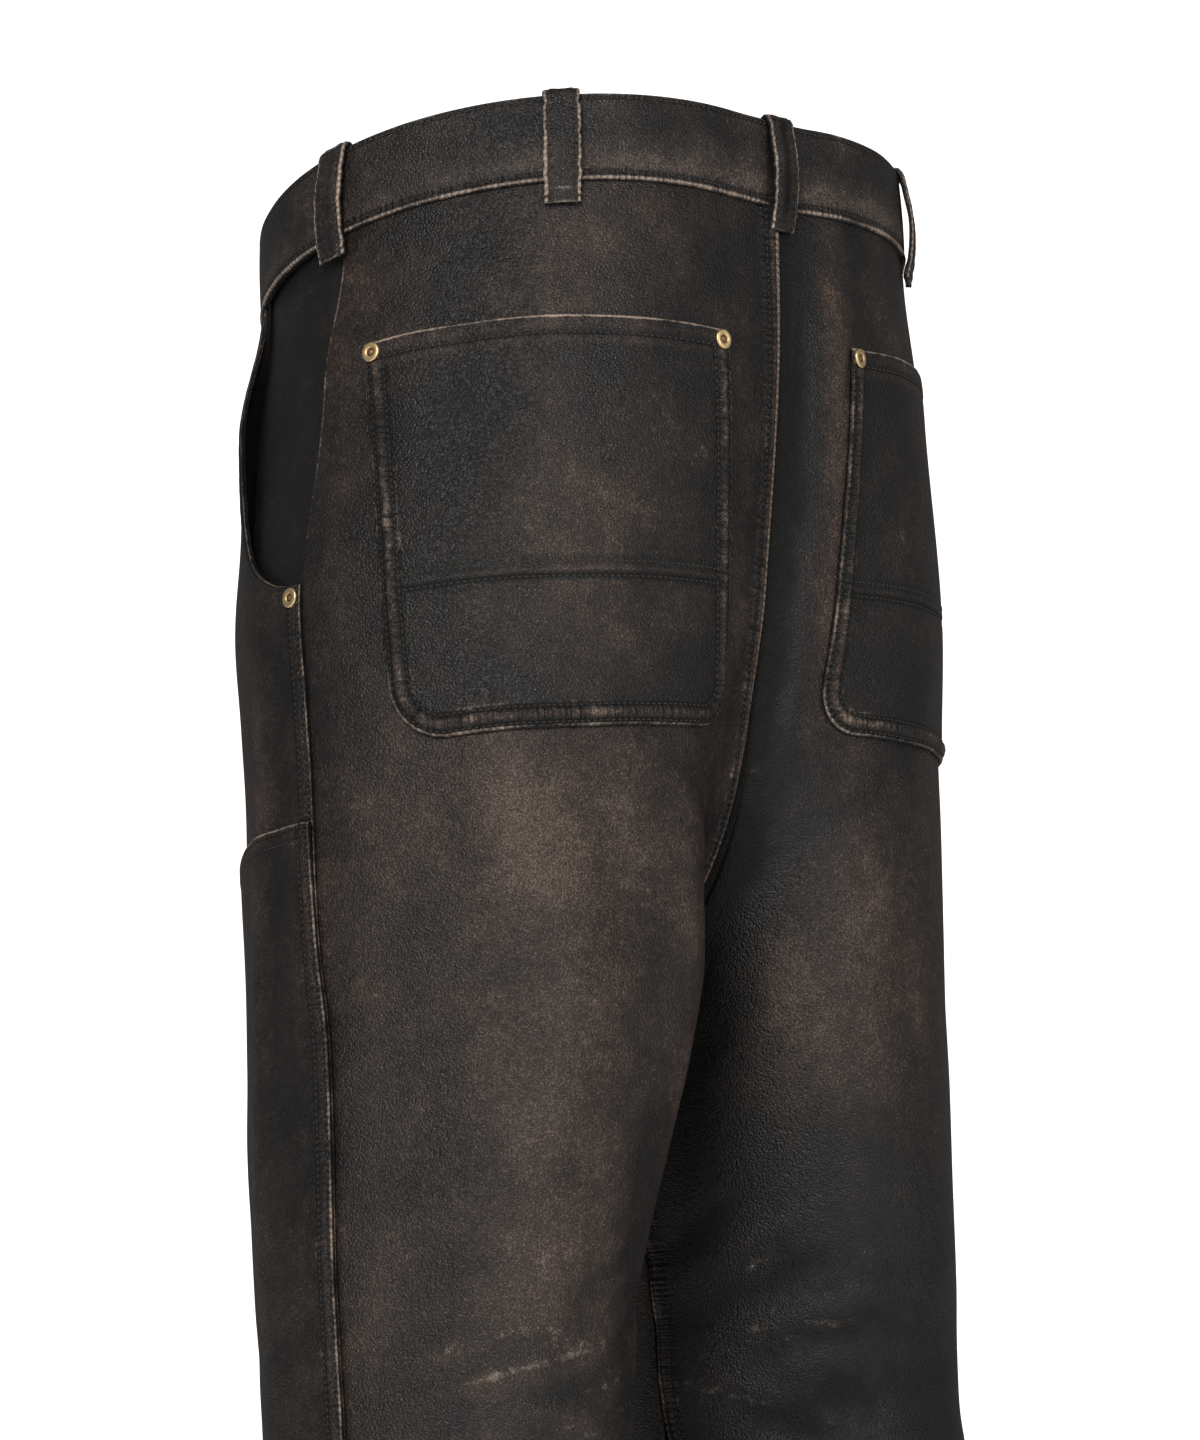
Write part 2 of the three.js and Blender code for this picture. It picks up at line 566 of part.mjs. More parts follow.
// The slider stands at the top of the zip with its tab hanging down, under the fly's flap.
function zipSlider() {
  const outline = new THREE.Shape();
  const [wide, foot, tab] = [SLIDER.wide / 2, SLIDER.foot / 2, SLIDER.tab / 2];
  outline.moveTo(-wide, 0);
  outline.lineTo(wide, 0);
  outline.lineTo(foot, -SLIDER.shoulder);
  outline.lineTo(tab, -SLIDER.neck);
  outline.lineTo(tab, -SLIDER.length);
  outline.absarc(0, -SLIDER.length, tab, 0, -Math.PI, true);
  outline.lineTo(-tab, -SLIDER.neck);
  outline.lineTo(-foot, -SLIDER.shoulder);
  outline.closePath();
  const depth = SLIDER.thick;
  return new THREE.ExtrudeGeometry(outline, { depth, bevelEnabled: false, curveSegments: 6 });
}

// A brass tubular rivet: a domed ring round a sunken eye. Its axis is +Y of the lathe.
function rivetShape() {
  const profile = [
    [0, 0],
    [RIVET_RADIUS, 0],
    [RIVET_RADIUS, 0.5],
    [RIVET_RADIUS * 0.86, 1.25],
    [RIVET_RADIUS * 0.62, 1.5],
    [RIVET_RADIUS * 0.42, 1.1],
    [RIVET_RADIUS * 0.36, 0.55],
    [RIVET_RADIUS * 0.2, 0.95],
    [0, 1.1],
  ].map(([x, y]) => new THREE.Vector2(x, y));
  return new THREE.LatheGeometry(profile, 12);
}

function buttonShape() {
  const profile = [
    [0, 0],
    [3.4, 0],
    [3.4, 1.6],
    [BUTTON_RADIUS - 0.8, 1.6],
    [BUTTON_RADIUS, 2.3],
    [BUTTON_RADIUS, 3],
    [BUTTON_RADIUS - 1, 3.8],
    [BUTTON_RADIUS - 2, 3.9],
    [BUTTON_RADIUS - 2.6, 3.4],
    [0, 3.1],
  ].map(([x, y]) => new THREE.Vector2(x, y));
  return new THREE.LatheGeometry(profile, 20);
}

const group = new THREE.Group();
const leather = new THREE.MeshStandardMaterial({ color: 0x3a3431, roughness: 0.55 });
const panelLeather = leather.clone();
const trimLeather = leather.clone();
trimLeather.color.set(0x2c2826);
const brass = new THREE.MeshStandardMaterial({ color: 0xa8895a, roughness: 0.35, metalness: 1 });
const tape = new THREE.MeshStandardMaterial({ color: 0x1a1a1a, roughness: 0.9 });

function add(name, geometry, material) {
  const mesh = new THREE.Mesh(geometry, material);
  mesh.name = name;
  group.add(mesh);
  return mesh;
}

// Sets a lathe or extrusion on the cloth, its axis along the cloth's normal.
function seat(mesh, foot, normal, axis) {
  mesh.quaternion.setFromUnitVectors(axis, normal);
  mesh.position.copy(foot);
}
const LATHE_AXIS = new THREE.Vector3(0, 1, 0);
const WAY_OUT = 9; // distance to the second point that gives the way out of the cloth

function addRivet(name, foot, above) {
  const normal = above.clone().sub(foot).normalize();
  seat(add(name, rivetShape(), brass), foot, normal, LATHE_AXIS);
}

for (const [half, word] of [
  [1, "left"],
  [-1, "right"],
]) {
  const back = panelOf(half, backDrops, backT, NO_LIFT);
  const frontTOf = (share, drop) => frontT(half, share, drop);
  const front = panelOf(half, frontDrops, frontTOf, frontLift(half));
  add("back_" + word, back.geometry, panelLeather);
  add("front_" + word, front.geometry, panelLeather);
  add("pocket_facing_" + word, pocketFacing(half), panelLeather);
  add("back_pocket_" + word, backPocket(back), panelLeather);
  add("knee_panel_" + word, kneePanel(front), panelLeather);

  const onTop = BED + POCKET_THICK + SEAM;
  for (const [place, across] of [
    ["inner", RIVET_INSET],
    ["outer", POCKET.width - RIVET_INSET],
  ]) {
    const foot = onPocket(back, across, RIVET_INSET, onTop);
    const above = onPocket(back, across, RIVET_INSET, onTop + WAY_OUT);
    addRivet("rivet_pocket_" + word + "_" + place, foot, above);
  }
  const mouthDrop = MOUTH_BOTTOM + MOUTH_RIVET.below;
  const mouthT = tAlong(sideT(mouthDrop), -MOUTH_RIVET.aside, mouthDrop);
  const foot = over(front, mouthT, mouthDrop, SEAM);
  addRivet("rivet_mouth_" + word, foot, over(front, mouthT, mouthDrop, SEAM + WAY_OUT));
}

add("waistband", waistband(), trimLeather);
for (const { name, angle } of LOOPS) add(name, beltLoop(angle), trimLeather);

const zipTape = flyStrip(ZIP.right, ZIP.left, ZIP.bottom, -SEAM, ZIP.thick);
add("zip_tape", zipTape, tape);
const shieldOut = -ZIP.thick - 2 * SEAM;
const shield = flyStrip(SHIELD.right, SHIELD.left, SHIELD.bottom, shieldOut, LEATHER);
add("fly_shield", shield, panelLeather);
const sliderDrop = PANEL_TOP + SLIDER_SEAT.below;
const sliderFoot = layer(1, tAlong(0, SLIDER_SEAT.aside, sliderDrop), sliderDrop, 0);
const slider = add("zip_slider", zipSlider(), brass);
slider.rotation.set(Math.PI / 2, 0, 0);
slider.position.copy(sliderFoot);

const buttonDrop = BAND_HEIGHT / 2;
const buttonOut = 2 * BAND_THICK + 2 * SEAM + BUTTON_GAP;
const buttonFoot = ring(BUTTON_ANGLE, buttonDrop, buttonOut);
const buttonWay = ring(BUTTON_ANGLE, buttonDrop, buttonOut + WAY_OUT).sub(buttonFoot).normalize();
seat(add("waist_button", buttonShape(), brass), buttonFoot, buttonWay, LATHE_AXIS);

export default group;
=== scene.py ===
import math

import bpy
import numpy as np
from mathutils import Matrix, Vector


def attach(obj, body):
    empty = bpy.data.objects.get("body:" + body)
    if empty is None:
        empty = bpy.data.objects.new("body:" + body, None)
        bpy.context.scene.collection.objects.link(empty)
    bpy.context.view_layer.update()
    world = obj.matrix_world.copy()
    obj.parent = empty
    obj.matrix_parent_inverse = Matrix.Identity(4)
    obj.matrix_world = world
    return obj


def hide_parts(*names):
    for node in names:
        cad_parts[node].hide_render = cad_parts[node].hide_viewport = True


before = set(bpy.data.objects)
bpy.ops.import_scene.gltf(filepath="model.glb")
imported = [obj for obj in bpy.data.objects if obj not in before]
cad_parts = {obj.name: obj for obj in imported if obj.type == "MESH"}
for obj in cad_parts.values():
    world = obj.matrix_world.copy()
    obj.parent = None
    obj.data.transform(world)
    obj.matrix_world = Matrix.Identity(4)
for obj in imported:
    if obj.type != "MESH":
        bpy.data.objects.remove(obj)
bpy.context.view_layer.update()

# Leather work trousers, filled out as when worn. A place on the cloth is given by half (+1 the
# wearer's left, -1 the right), t (0 centre front, 0.5 side seam, 1 centre back or inseam) and
# drop, the distance below the waist edge. Lengths in the tables and functions are millimetres.

# Back panels
# Each is one panel of 1.4 mm cowhide from the waistband to the hem. The left one is folded over
# the right one at the centre back and sewn down with two rows, which pucker the raised band.
# Both are turned up 25 mm at the hem.
OUTSEAM = 1062.0
CROTCH = 362.0
CROTCH_Y = 9.8
RISE_TOP = 196.0
CROTCH_BEND = 0.5
SEAT_BEND = 1.6
SEAT_SHARE = 0.3
MOUTH_BOTTOM = 199.0
CENTRE_BAND, CENTRE_ROWS = 10.5, (2.6, 8.8)
INSEAM_BAND = 9.0
SEAM_TURNS = 30.0
SEAM_ROWS = (1.9, 7.4)
WAIST_SLOPE = 0.22
EDGE_WAVE = -3.5
SLOPE_FADES = 330.0
LEATHER = 1.4
SEAM = 0.3
BED = 0.4
BAND_HEIGHT = 40.0
PANEL_TOP = BAND_HEIGHT + SEAM
TUCK = 0.7
HEM = 25.0
HEM_ROW = 22.0
GAP_FADES = 40.0
HALF_ROUND = 500.0
INNER_EDGE = LEATHER + SEAM / 2
HALF_SEAM = SEAM / 2 / HALF_ROUND

SECTION_COLUMNS = ("drop", "x", "y", "outer", "front", "back", "inseam", "peak", "cleft", "seam")
SECTIONS = np.array([
    (0, 34, 2, 122, 125, 123, 0, 0.82, 0, 4),
    (50, 40, 3, 117, 121, 124, 0, 0.81, 1, 4),
    (110, 42, 4, 124, 123, 128, 0, 0.80, 6, 0),
    (200, 58, 5, 121, 116, 123, 0, 0.74, 11, 0),
    (250, 63, 7, 115, 111, 119, 0, 0.71, 14, 1),
    (290, 66, 9, 111, 108, 118, 2, 0.68, 14, 2),
    (362, 64, 10, 115, 104, 118, 7, 0.61, 12, 7),
    (400, 72, 12, 108, 100, 114, 11, 0.58, 0, 11),
    (440, 83, 14, 99, 94, 107, 17, 0.55, 0, 13),
    (515, 99, 20, 87, 84, 93, 30, 0.52, 0, 15),
    (612, 105, 25, 80, 79, 86, 34, 0.50, 0, 16),
    (760, 112, 26, 76, 77, 79, 42, 0.50, 0, 14),
    (900, 118, 22, 74, 75, 76, 50, 0.50, 0, 12),
    (1062, 123, 17, 71, 72, 74, 56, 0.50, 0, 10),
], float)

# Folds and creases: half (0 is both), t, drop, turn in degrees from level, long, wide, depth.
# Depth above 0 is a ridge and below 0 a trough.
FOLDS = [
    (-1, 0.935, 165, 86, 140, 17, 3.5),
    (-1, 0.985, 160, 88, 120, 12, -1.5),
    (1, 0.7, 430, 88, 190, 30, 4),
    (1, 0.8, 440, 84, 150, 24, -4),
    (1, 0.6, 450, 92, 180, 24, -3),
    (-1, 0.76, 480, 92, 150, 34, 4),
    (-1, 0.86, 556, 18, 70, 17, -5),
    (-1, 0.8, 606, -12, 110, 16, -6),
    (-1, 0.72, 580, 4, 90, 16, 4),
    (1, 0.74, 598, -9, 100, 16, -4),
    (1, 0.82, 640, 8, 100, 16, -5),
    (-1, 0.76, 660, 6, 110, 17, -5),
    (0, 0.3, 470, 88, 150, 24, 4),
    (0, 0.12, 410, 58, 70, 18, -4),
    (0, 0.2, 620, -6, 80, 16, -4),
    (1, 0.3, 905, 12, 100, 20, -5),
    (-1, 0.25, 930, -10, 100, 20, -5),
    (1, 0.75, 960, -9, 100, 20, -5),
    (-1, 0.7, 890, 11, 100, 20, -5),
]
CREASES = [
    (1, 0.6, 534, -12, 20, 5, -1.0),
    (1, 0.66, 543, -17, 36, 5, -1.3),
    (1, 0.74, 552, -20, 42, 5, -1.6),
    (1, 0.8, 530, -24, 34, 6, -1.2),
    (1, 0.73, 571, 14, 26, 5, 1.2),
    (1, 0.78, 500, -30, 30, 6, -0.9),
    (1, 0.84, 556, -8, 30, 7, -1.5),
    (-1, 0.96, 478, 38, 34, 6, -1.6),
    (-1, 0.92, 484, 30, 40, 6, 1.5),
    (-1, 0.9, 500, 24, 44, 6, -1.6),
    (-1, 0.86, 512, 14, 46, 6, 1.3),
    (-1, 0.83, 524, 8, 50, 7, -1.4),
    (-1, 0.94, 548, -14, 44, 7, 1.6),
    (-1, 0.9, 560, -22, 46, 6, -1.6),
    (-1, 0.97, 420, 62, 60, 9, -1.8),
    (1, 0.95, 400, 66, 60, 9, -1.8),
    (1, 0.72, 96, 84, 40, 12, 1.3),
    (1, 0.65, 110, 96, 46, 10, -1.2),
    (1, 0.61, 150, 80, 60, 12, 1.5),
    (-1, 0.972, 120, 84, 60, 5, -0.9),
    (-1, 0.955, 235, 86, 60, 7, 1.2),
    (-1, 0.88, 150, 88, 90, 12, -1.6),
    (1, 0.9, 300, 40, 60, 10, -1.5),
    (-1, 0.9, 300, 40, 60, 10, -1.5),
    (1, 0.68, 300, 88, 60, 14, 1.6),
    (1, 0.75, 310, 88, 60, 12, -1.4),
    (0, 0.43, 420, 89, 150, 7, 1.5),
    (0, 0.46, 300, 88, 120, 6, -1.2),
    (0, 0.37, 520, 90, 140, 9, -1.5),
    (0, 0.1, 300, 50, 50, 9, -1.8),
    (0, 0.06, 330, 40, 44, 7, 1.5),
    (0, 0.16, 360, 62, 60, 10, 1.6),
    (0, 0.25, 600, 4, 60, 9, 1.6),
    (0, 0.28, 640, -10, 70, 9, -1.8),
    (0, 0.75, 690, -6, 70, 10, 1.6),
    (0, 0.7, 720, 8, 70, 10, -1.8),
    (0, 0.6, 860, -12, 60, 10, -1.6),
    (0, 0.4, 880, 12, 60, 10, 1.6),
    (0, 0.8, 900, 10, 70, 12, 1.8),
    (0, 0.2, 900, -8, 70, 12, 1.8),
    (0, 0.7, 1000, -8, 70, 12, 1.6),
    (0, 0.3, 1010, 10, 80, 12, -2.0),
    (0, 0.85, 990, 12, 60, 12, -2.0),
]
SMALL_CREASES, SMALL_SEED = 90, 7
SMALL_SIZES = ((30, 80), (7, 13), (-0.9, 0.9))
draw = np.random.default_rng(SMALL_SEED)
for _ in range(SMALL_CREASES):
    place = (draw.uniform(0.04, 0.96), draw.uniform(60, 1030))
    turn = draw.normal(88, 10) if place[1] < 500 else draw.normal(0, 22)
    size = [draw.uniform(*limits) for limits in SMALL_SIZES]
    CREASES.append((draw.choice((-1, 1)), *place, turn, *size))


def section(name, drop):
    """One column of SECTIONS as a smooth curve of drop, with no overshoot between its rows."""
    x, y = SECTIONS[:, 0], SECTIONS[:, SECTION_COLUMNS.index(name)]
    slope = np.diff(y) / np.diff(x)
    tangent = np.zeros(len(x))
    tangent[0], tangent[-1] = slope[0], slope[-1]
    for i in range(1, len(x) - 1):
        if slope[i - 1] * slope[i] > 0:
            tangent[i] = 2 / (1 / slope[i - 1] + 1 / slope[i])
    at = np.clip(drop, x[0], x[-1])
    i = np.clip(np.searchsorted(x, at) - 1, 0, len(x) - 2)
    span = x[i + 1] - x[i]
    u = (at - x[i]) / span
    start = (1 + 2 * u) * (1 - u) ** 2 * y[i] + u * (1 - u) ** 2 * span * tangent[i]
    return start + u * u * (3 - 2 * u) * y[i + 1] + u * u * (u - 1) * span * tangent[i + 1]


def smooth(value, low, high):
    share = np.clip((value - low) / (high - low), 0, 1)
    return share * share * (3 - 2 * share)


def bump(value, middle, width):
    return np.exp(-(((value - middle) / width) ** 2))


def depth_of(folds, half, t, drop):
    """How far a table of folds lifts the cloth."""
    depth = np.zeros(np.shape(t))
    for side, at, low, turn, long, wide, deep in folds:
        if side in (0, half):
            across, down = (t - at) * HALF_ROUND, drop - low
            c, s = math.cos(math.radians(turn)), math.sin(math.radians(turn))
            u, v = (across * c + down * s) / long, (down * c - across * s) / wide
            depth += deep * np.exp(-u * u - v * v)
    return depth


def body(half, t, drop, lift=0.0):
    """A point on the body side of the leather."""
    t, drop = np.broadcast_arrays(t, drop)
    share = np.abs(2 * t - 1)
    back = t > 0.5
    peak, x, y = section("peak", drop), section("x", drop), section("y", drop)
    deep = np.where(back, section("back", drop), -section("front", drop))
    outer = section("outer", drop)
    angle = share / peak * math.pi / 2
    wide = np.stack([x + outer * np.cos(angle), y + deep * np.sin(angle)], -1)
    wide_normal = np.stack([np.cos(angle) / outer, np.sin(angle) / deep], -1)
    under = np.clip((drop - RISE_TOP) / (CROTCH - RISE_TOP), 0, 1)
    inner = np.clip((share - peak) / (1 - peak), 0, 1)
    bend = SEAT_BEND + (CROTCH_BEND - SEAT_BEND) * smooth(inner, SEAT_SHARE, 1)
    turned = 1 - (1 - under * under) ** bend
    angle = np.arcsin(inner) * (1 - turned) + inner * math.pi / 2 * turned
    cosine = np.maximum(np.cos(angle), 0)
    above = drop < CROTCH
    cleft = np.where(back, section("cleft", drop), 0)
    seam_y = (y + deep - cleft) * (1 - turned) + CROTCH_Y * turned
    leg_y = np.where(above, seam_y, y)
    seam_gap = INNER_EDGE * (1 - smooth(drop, CROTCH - GAP_FADES, CROTCH))
    reach = x - section("inseam", drop) - seam_gap
    rise = (y + deep - leg_y) * cosine ** np.where(above, 2 - turned, 1)
    near = np.stack([x - reach * np.sin(angle), leg_y + rise], -1)
    flat = np.sign(deep) * (1 - turned + cosine * turned)
    near_normal = np.stack([-np.sin(angle) * turned, flat], -1)
    outside = (share <= peak)[..., None]
    point = np.where(outside, wide, near)
    normal = np.where(outside, wide_normal, near_normal)
    fade = 1 - smooth(drop, 0, SLOPE_FADES)
    edge = (WAIST_SLOPE * point[..., 1] + EDGE_WAVE * np.cos(2 * math.pi * t)) * fade
    point = point + normal * (lift / np.hypot(normal[..., 0], normal[..., 1]))[..., None]
    return np.stack([half * point[..., 0], point[..., 1], edge - drop], -1)


def skin(half, t, drop, lift=None):
    """The body side of the leather with its folds, and its outward normal."""
    t, drop = np.broadcast_arrays(np.asarray(t, float), np.asarray(drop, float))

    def at(u, d):
        past, above = (u < 0) | (u > 1), d < CROTCH
        mirrored, round_leg = np.where(u < 0, -u, 2 - u), u - np.floor(u)
        place = np.where(past, np.where(above, mirrored, round_leg), u)
        rise = depth_of(FOLDS, half, place, d) + depth_of(CREASES, half, place, d)
        if lift:
            rise = rise + lift(np.where(above, u, place), d)
        point = body(half, place, d, rise)
        point[..., 0] = np.where(past & above, -point[..., 0], point[..., 0])
        return point

    across, down = 0.006, 3.0
    around = at(t + across, drop) - at(t - across, drop)
    along = at(t, drop + down) - at(t, drop - down)
    normal = half * np.cross(along, around)
    normal /= np.linalg.norm(normal, axis=-1, keepdims=True)
    return at(t, drop), normal


def layer(half, t, drop, out, lift=None):
    """A layer of the cloth that stands a number of mm out from the body side."""
    t, drop, out = np.broadcast_arrays(*(np.asarray(v, float) for v in (t, drop, out)))
    point, normal = skin(half, t, drop, lift)
    point = point + normal * out[..., None]
    inside = (drop < CROTCH) & (t >= 0) & (t <= 1)
    at_seam = inside & ((t == 0) | (t == 1))
    x = np.where(inside, half * np.maximum(half * point[..., 0], 0), point[..., 0])
    point[..., 0] = np.where(at_seam, 0, x)
    return point


FINE_T = np.linspace(0, 1, 401)
FINE_DROPS = np.arange(0, OUTSEAM + 1, 0.5)
half_round = body(1, FINE_T[None, :], FINE_DROPS[:, None])[..., :2]
half_round = np.linalg.norm(np.diff(half_round, axis=1), axis=-1)
half_round = np.pad(np.cumsum(half_round, axis=1), ((0, 0), (1, 0)))


def along(start, mm, drop):
    """The t that lies a number of mm round the section from a starting t."""
    start, mm, drop = np.broadcast_arrays(*(np.asarray(v, float) for v in (start, mm, drop)))
    row = np.clip(np.rint(drop * 2).astype(int), 0, len(FINE_DROPS) - 1)
    found = np.empty(drop.shape)
    for r in np.unique(row):
        here = row == r
        target = np.interp(start[here], FINE_T, half_round[r]) + mm[here]
        found[here] = np.interp(target, half_round[r], FINE_T)
    return found


def side_t(drop):
    return 0.5 + section("seam", drop) / HALF_ROUND


def middle_seam(drop):
    return np.where(drop < CROTCH, 0.0, HALF_SEAM)


def fine_edges(width, step):
    """Shares of a width, close together near its sewn edges."""
    near = np.array([0, 0.7, 1.4, 2.2, 3.2, 4.4, 5.8, 7.2, 8.4, 9.4, 10.4, 11.6, 13.5])
    room = width - 2 * near[-1]
    middle = near[-1] + room * np.linspace(0, 1, round(room / step) + 1)[1:-1]
    return np.concatenate([near, middle, width - near[::-1]]) / width


def lengths(grid, axis):
    """Distance of each grid point from the first row or column, along the cloth."""
    step = np.linalg.norm(np.diff(grid, axis=axis), axis=-1)
    start = np.zeros_like(np.take(step, [0], axis=axis))
    return np.concatenate([start, np.cumsum(step, axis=axis)], axis=axis)


RIPPLE_RATES = (0.42, 0.61, 0.83, 1.13)


def ripple(length, seed):
    """An uneven wave along a sewn edge, from -1 to 1."""
    phases = np.random.default_rng(seed).uniform(0, 2 * math.pi, len(RIPPLE_RATES))
    waves = [np.sin(length * rate + phase) for rate, phase in zip(RIPPLE_RATES, phases)]
    return sum(waves) / len(RIPPLE_RATES)


def felled(from_edge, length, width, rise, rows, seed):
    """A felled band by an edge: two dimpled rows of stitches, with the leather puffed between."""
    step = rise * (1 - smooth(from_edge, width - 0.8, width + 1.2))
    share = np.clip((from_edge - rows[0]) / (rows[1] - rows[0]), 0, 1)
    puff = (0.55 * rise + 0.12 * ripple(length, seed)) * np.sin(math.pi * share)
    dents = sum(0.6 * bump(from_edge, row, 0.9) for row in rows)
    return step + puff - dents - 0.45 * rise * bump(from_edge, 0, 0.6)


def trench(from_edge, deep=0.5):
    """The leather drawn in along a plain seam."""
    return -deep * bump(from_edge, 0, 2.2)


def inner_offset(drop):
    """The inner face stands in at the doubled hem, and out where the top runs into the band."""
    return np.where(drop >= OUTSEAM - HEM, -LEATHER, 0.0) + np.where(drop < BAND_HEIGHT, TUCK, 0)


def hem_relief(drop):
    return -0.4 * bump(drop, OUTSEAM - HEM_ROW, 0.9) - 0.5 * bump(drop, OUTSEAM, 0.8)


def row_grooves(from_edge, rows, widths):
    """Bumps along each row of stitches: sunk as grooves, and darkened there as painted shade."""
    return sum(bump(from_edge, row, wide) for row, wide in zip(rows, widths))


def cloth_wall(name, inner, outer, wear_and_light_marks, material):
    """A closed wall between two grids of points, with the outer face's wear and painted light
    attributes.
    """
    rows, columns = inner.shape[:2]
    points = np.concatenate([outer.reshape(-1, 3), inner.reshape(-1, 3)]) / 1000
    index = np.arange(rows * columns).reshape(rows, columns)
    under = index + rows * columns
    a, b, c, d = index[:-1, :-1], index[:-1, 1:], index[1:, 1:], index[1:, :-1]
    e, f, g, h = under[:-1, :-1], under[:-1, 1:], under[1:, 1:], under[1:, :-1]
    quads = [np.stack(q, -1).reshape(-1, 4) for q in ((a, b, c, d), (e, h, g, f))]
    for o, u, turn in (
        (index[0], under[0], 1),
        (index[-1], under[-1], -1),
        (index[:, 0], under[:, 0], -1),
        (index[:, -1], under[:, -1], 1),
    ):
        quads.append(np.stack([o[:-1], u[:-1], u[1:], o[1:]], -1)[:, ::turn])
    faces = np.concatenate(quads)
    corner = points[faces]
    volume = np.einsum("ij,ij->", corner[:, 0], np.cross(corner[:, 1], corner[:, 2]))
    volume += np.einsum("ij,ij->", corner[:, 0], np.cross(corner[:, 2], corner[:, 3]))
    if volume < 0:
        faces = faces[:, ::-1]
    mesh = bpy.data.meshes.new(name)
    mesh.from_pydata(points.tolist(), [], faces.tolist())
    for key in ("edge", "wear_and_painted_light", "pucker", "length"):
        values = np.zeros(len(points), np.float32)
        if key in wear_and_light_marks:
            values[: rows * columns] = np.broadcast_to(wear_and_light_marks[key], (rows, columns)).reshape(-1)
        mesh.attributes.new(key, "FLOAT", "POINT").data.foreach_set("value", values)
    mesh.materials.append(material)
    mesh.polygons.foreach_set("use_smooth", np.ones(len(mesh.polygons), bool))
    thing = bpy.data.objects.new(name, mesh)
    bpy.context.scene.collection.objects.link(thing)
    return thing


def normals_of(grid):
    """Outward normals of a grid, taken from its own points."""
    normal = np.cross(np.gradient(grid, axis=0), np.gradient(grid, axis=1))
    return normal / np.maximum(np.linalg.norm(normal, axis=-1, keepdims=True), 1e-9)


def ridges(grid, reach=4):
    """How far each point stands out from its neighbours; used to lighten ridges and darken
    troughs.
    """
    padded = np.pad(grid, ((reach, reach), (reach, reach), (0, 0)), "edge")
    rows, columns = grid.shape[:2]
    around = [(0, reach), (2 * reach, reach), (reach, 0), (reach, 2 * reach)]
    mean = sum(padded[a:a + rows, b:b + columns] for a, b in around) / 4
    normal = normals_of(grid)
    centre = grid.mean(axis=(0, 1))
    sign = np.sign(np.sum(normal * (grid - centre), axis=-1).mean())
    return sign * np.sum((grid - mean) * normal, axis=-1)


def spots(half, t, drop, table):
    """Broad lightened and darkened places (rubbed wear, painted highlight and painted shade),
    from a table of half, t, drop, width, height and strength.
    """
    wear_and_light_marks = np.zeros(np.shape(t))
    for side, at, low, wide, high, strength in table:
        if side in (0, half):
            u, v = (t - at) * HALF_ROUND / wide, (drop - low) / high
            wear_and_light_marks += strength * np.exp(-u * u - v * v)
    return wear_and_light_marks


# Rows to be sewn: points on the cloth's outer face and the way out of it.
sewn_rows = []


def sew_across(grid, normal, distance, at, first=0, last=None):
    """A row of stitches at one distance from an edge, down the grid's rows."""
    distance = np.broadcast_to(distance, grid.shape[:2])
    points, ways = [], []
    for j in range(first, grid.shape[0] if last is None else last):
        order = np.argsort(distance[j], kind="stable")
        if not distance[j][order[0]] <= at <= distance[j][order[-1]]:
            continue
        for kept, source in ((points, grid[j]), (ways, normal[j])):
            kept.append([np.interp(at, distance[j][order], source[order, k]) for k in range(3)])
    if len(points) > 2:
        sewn_rows.append((np.array(points), np.array(ways)))


def sew_along(grid, normal, distance, at, first=0, last=None):
    """The same along the grid's columns."""
    distance = np.broadcast_to(distance, grid.shape[:2])
    swapped = [np.swapaxes(v[:, first:last], 0, 1) for v in (grid, normal, distance)]
    sew_across(*swapped, at)


def new_material(name):
    """An empty material, a maker of its nodes and its object coordinates."""
    material = bpy.data.materials.new(name)
    material.use_nodes = True
    tree = material.node_tree
    tree.nodes.clear()

    def node(kind, inputs=None, **settings):
        made = tree.nodes.new(kind)
        for key, value in settings.items():
            setattr(made, key, value)
        for key, value in (inputs or {}).items():
            if isinstance(value, bpy.types.NodeSocket):
                tree.links.new(value, made.inputs[key])
            else:
                made.inputs[key].default_value = value
        return made

    return material, node, node("ShaderNodeTexCoord").outputs["Object"]


def add_surface(node, inputs):
    shader = node("ShaderNodeBsdfPrincipled", inputs)
    node("ShaderNodeOutputMaterial", {"Surface": shader.outputs[0]})


# Of the leather: small puckers to a metre of a sewn edge, radians of its worn beads to a metre
# (a bead every 3 mm), and how dark the leather gets where its wear value falls below zero:
# partly unrubbed finish, partly painted shade in troughs, stitch grooves and shaded places.
PUCKERS_PER_METRE = 420.0
BEAD_TURNS = 2094.0
DARKEST_SHARE = 0.3


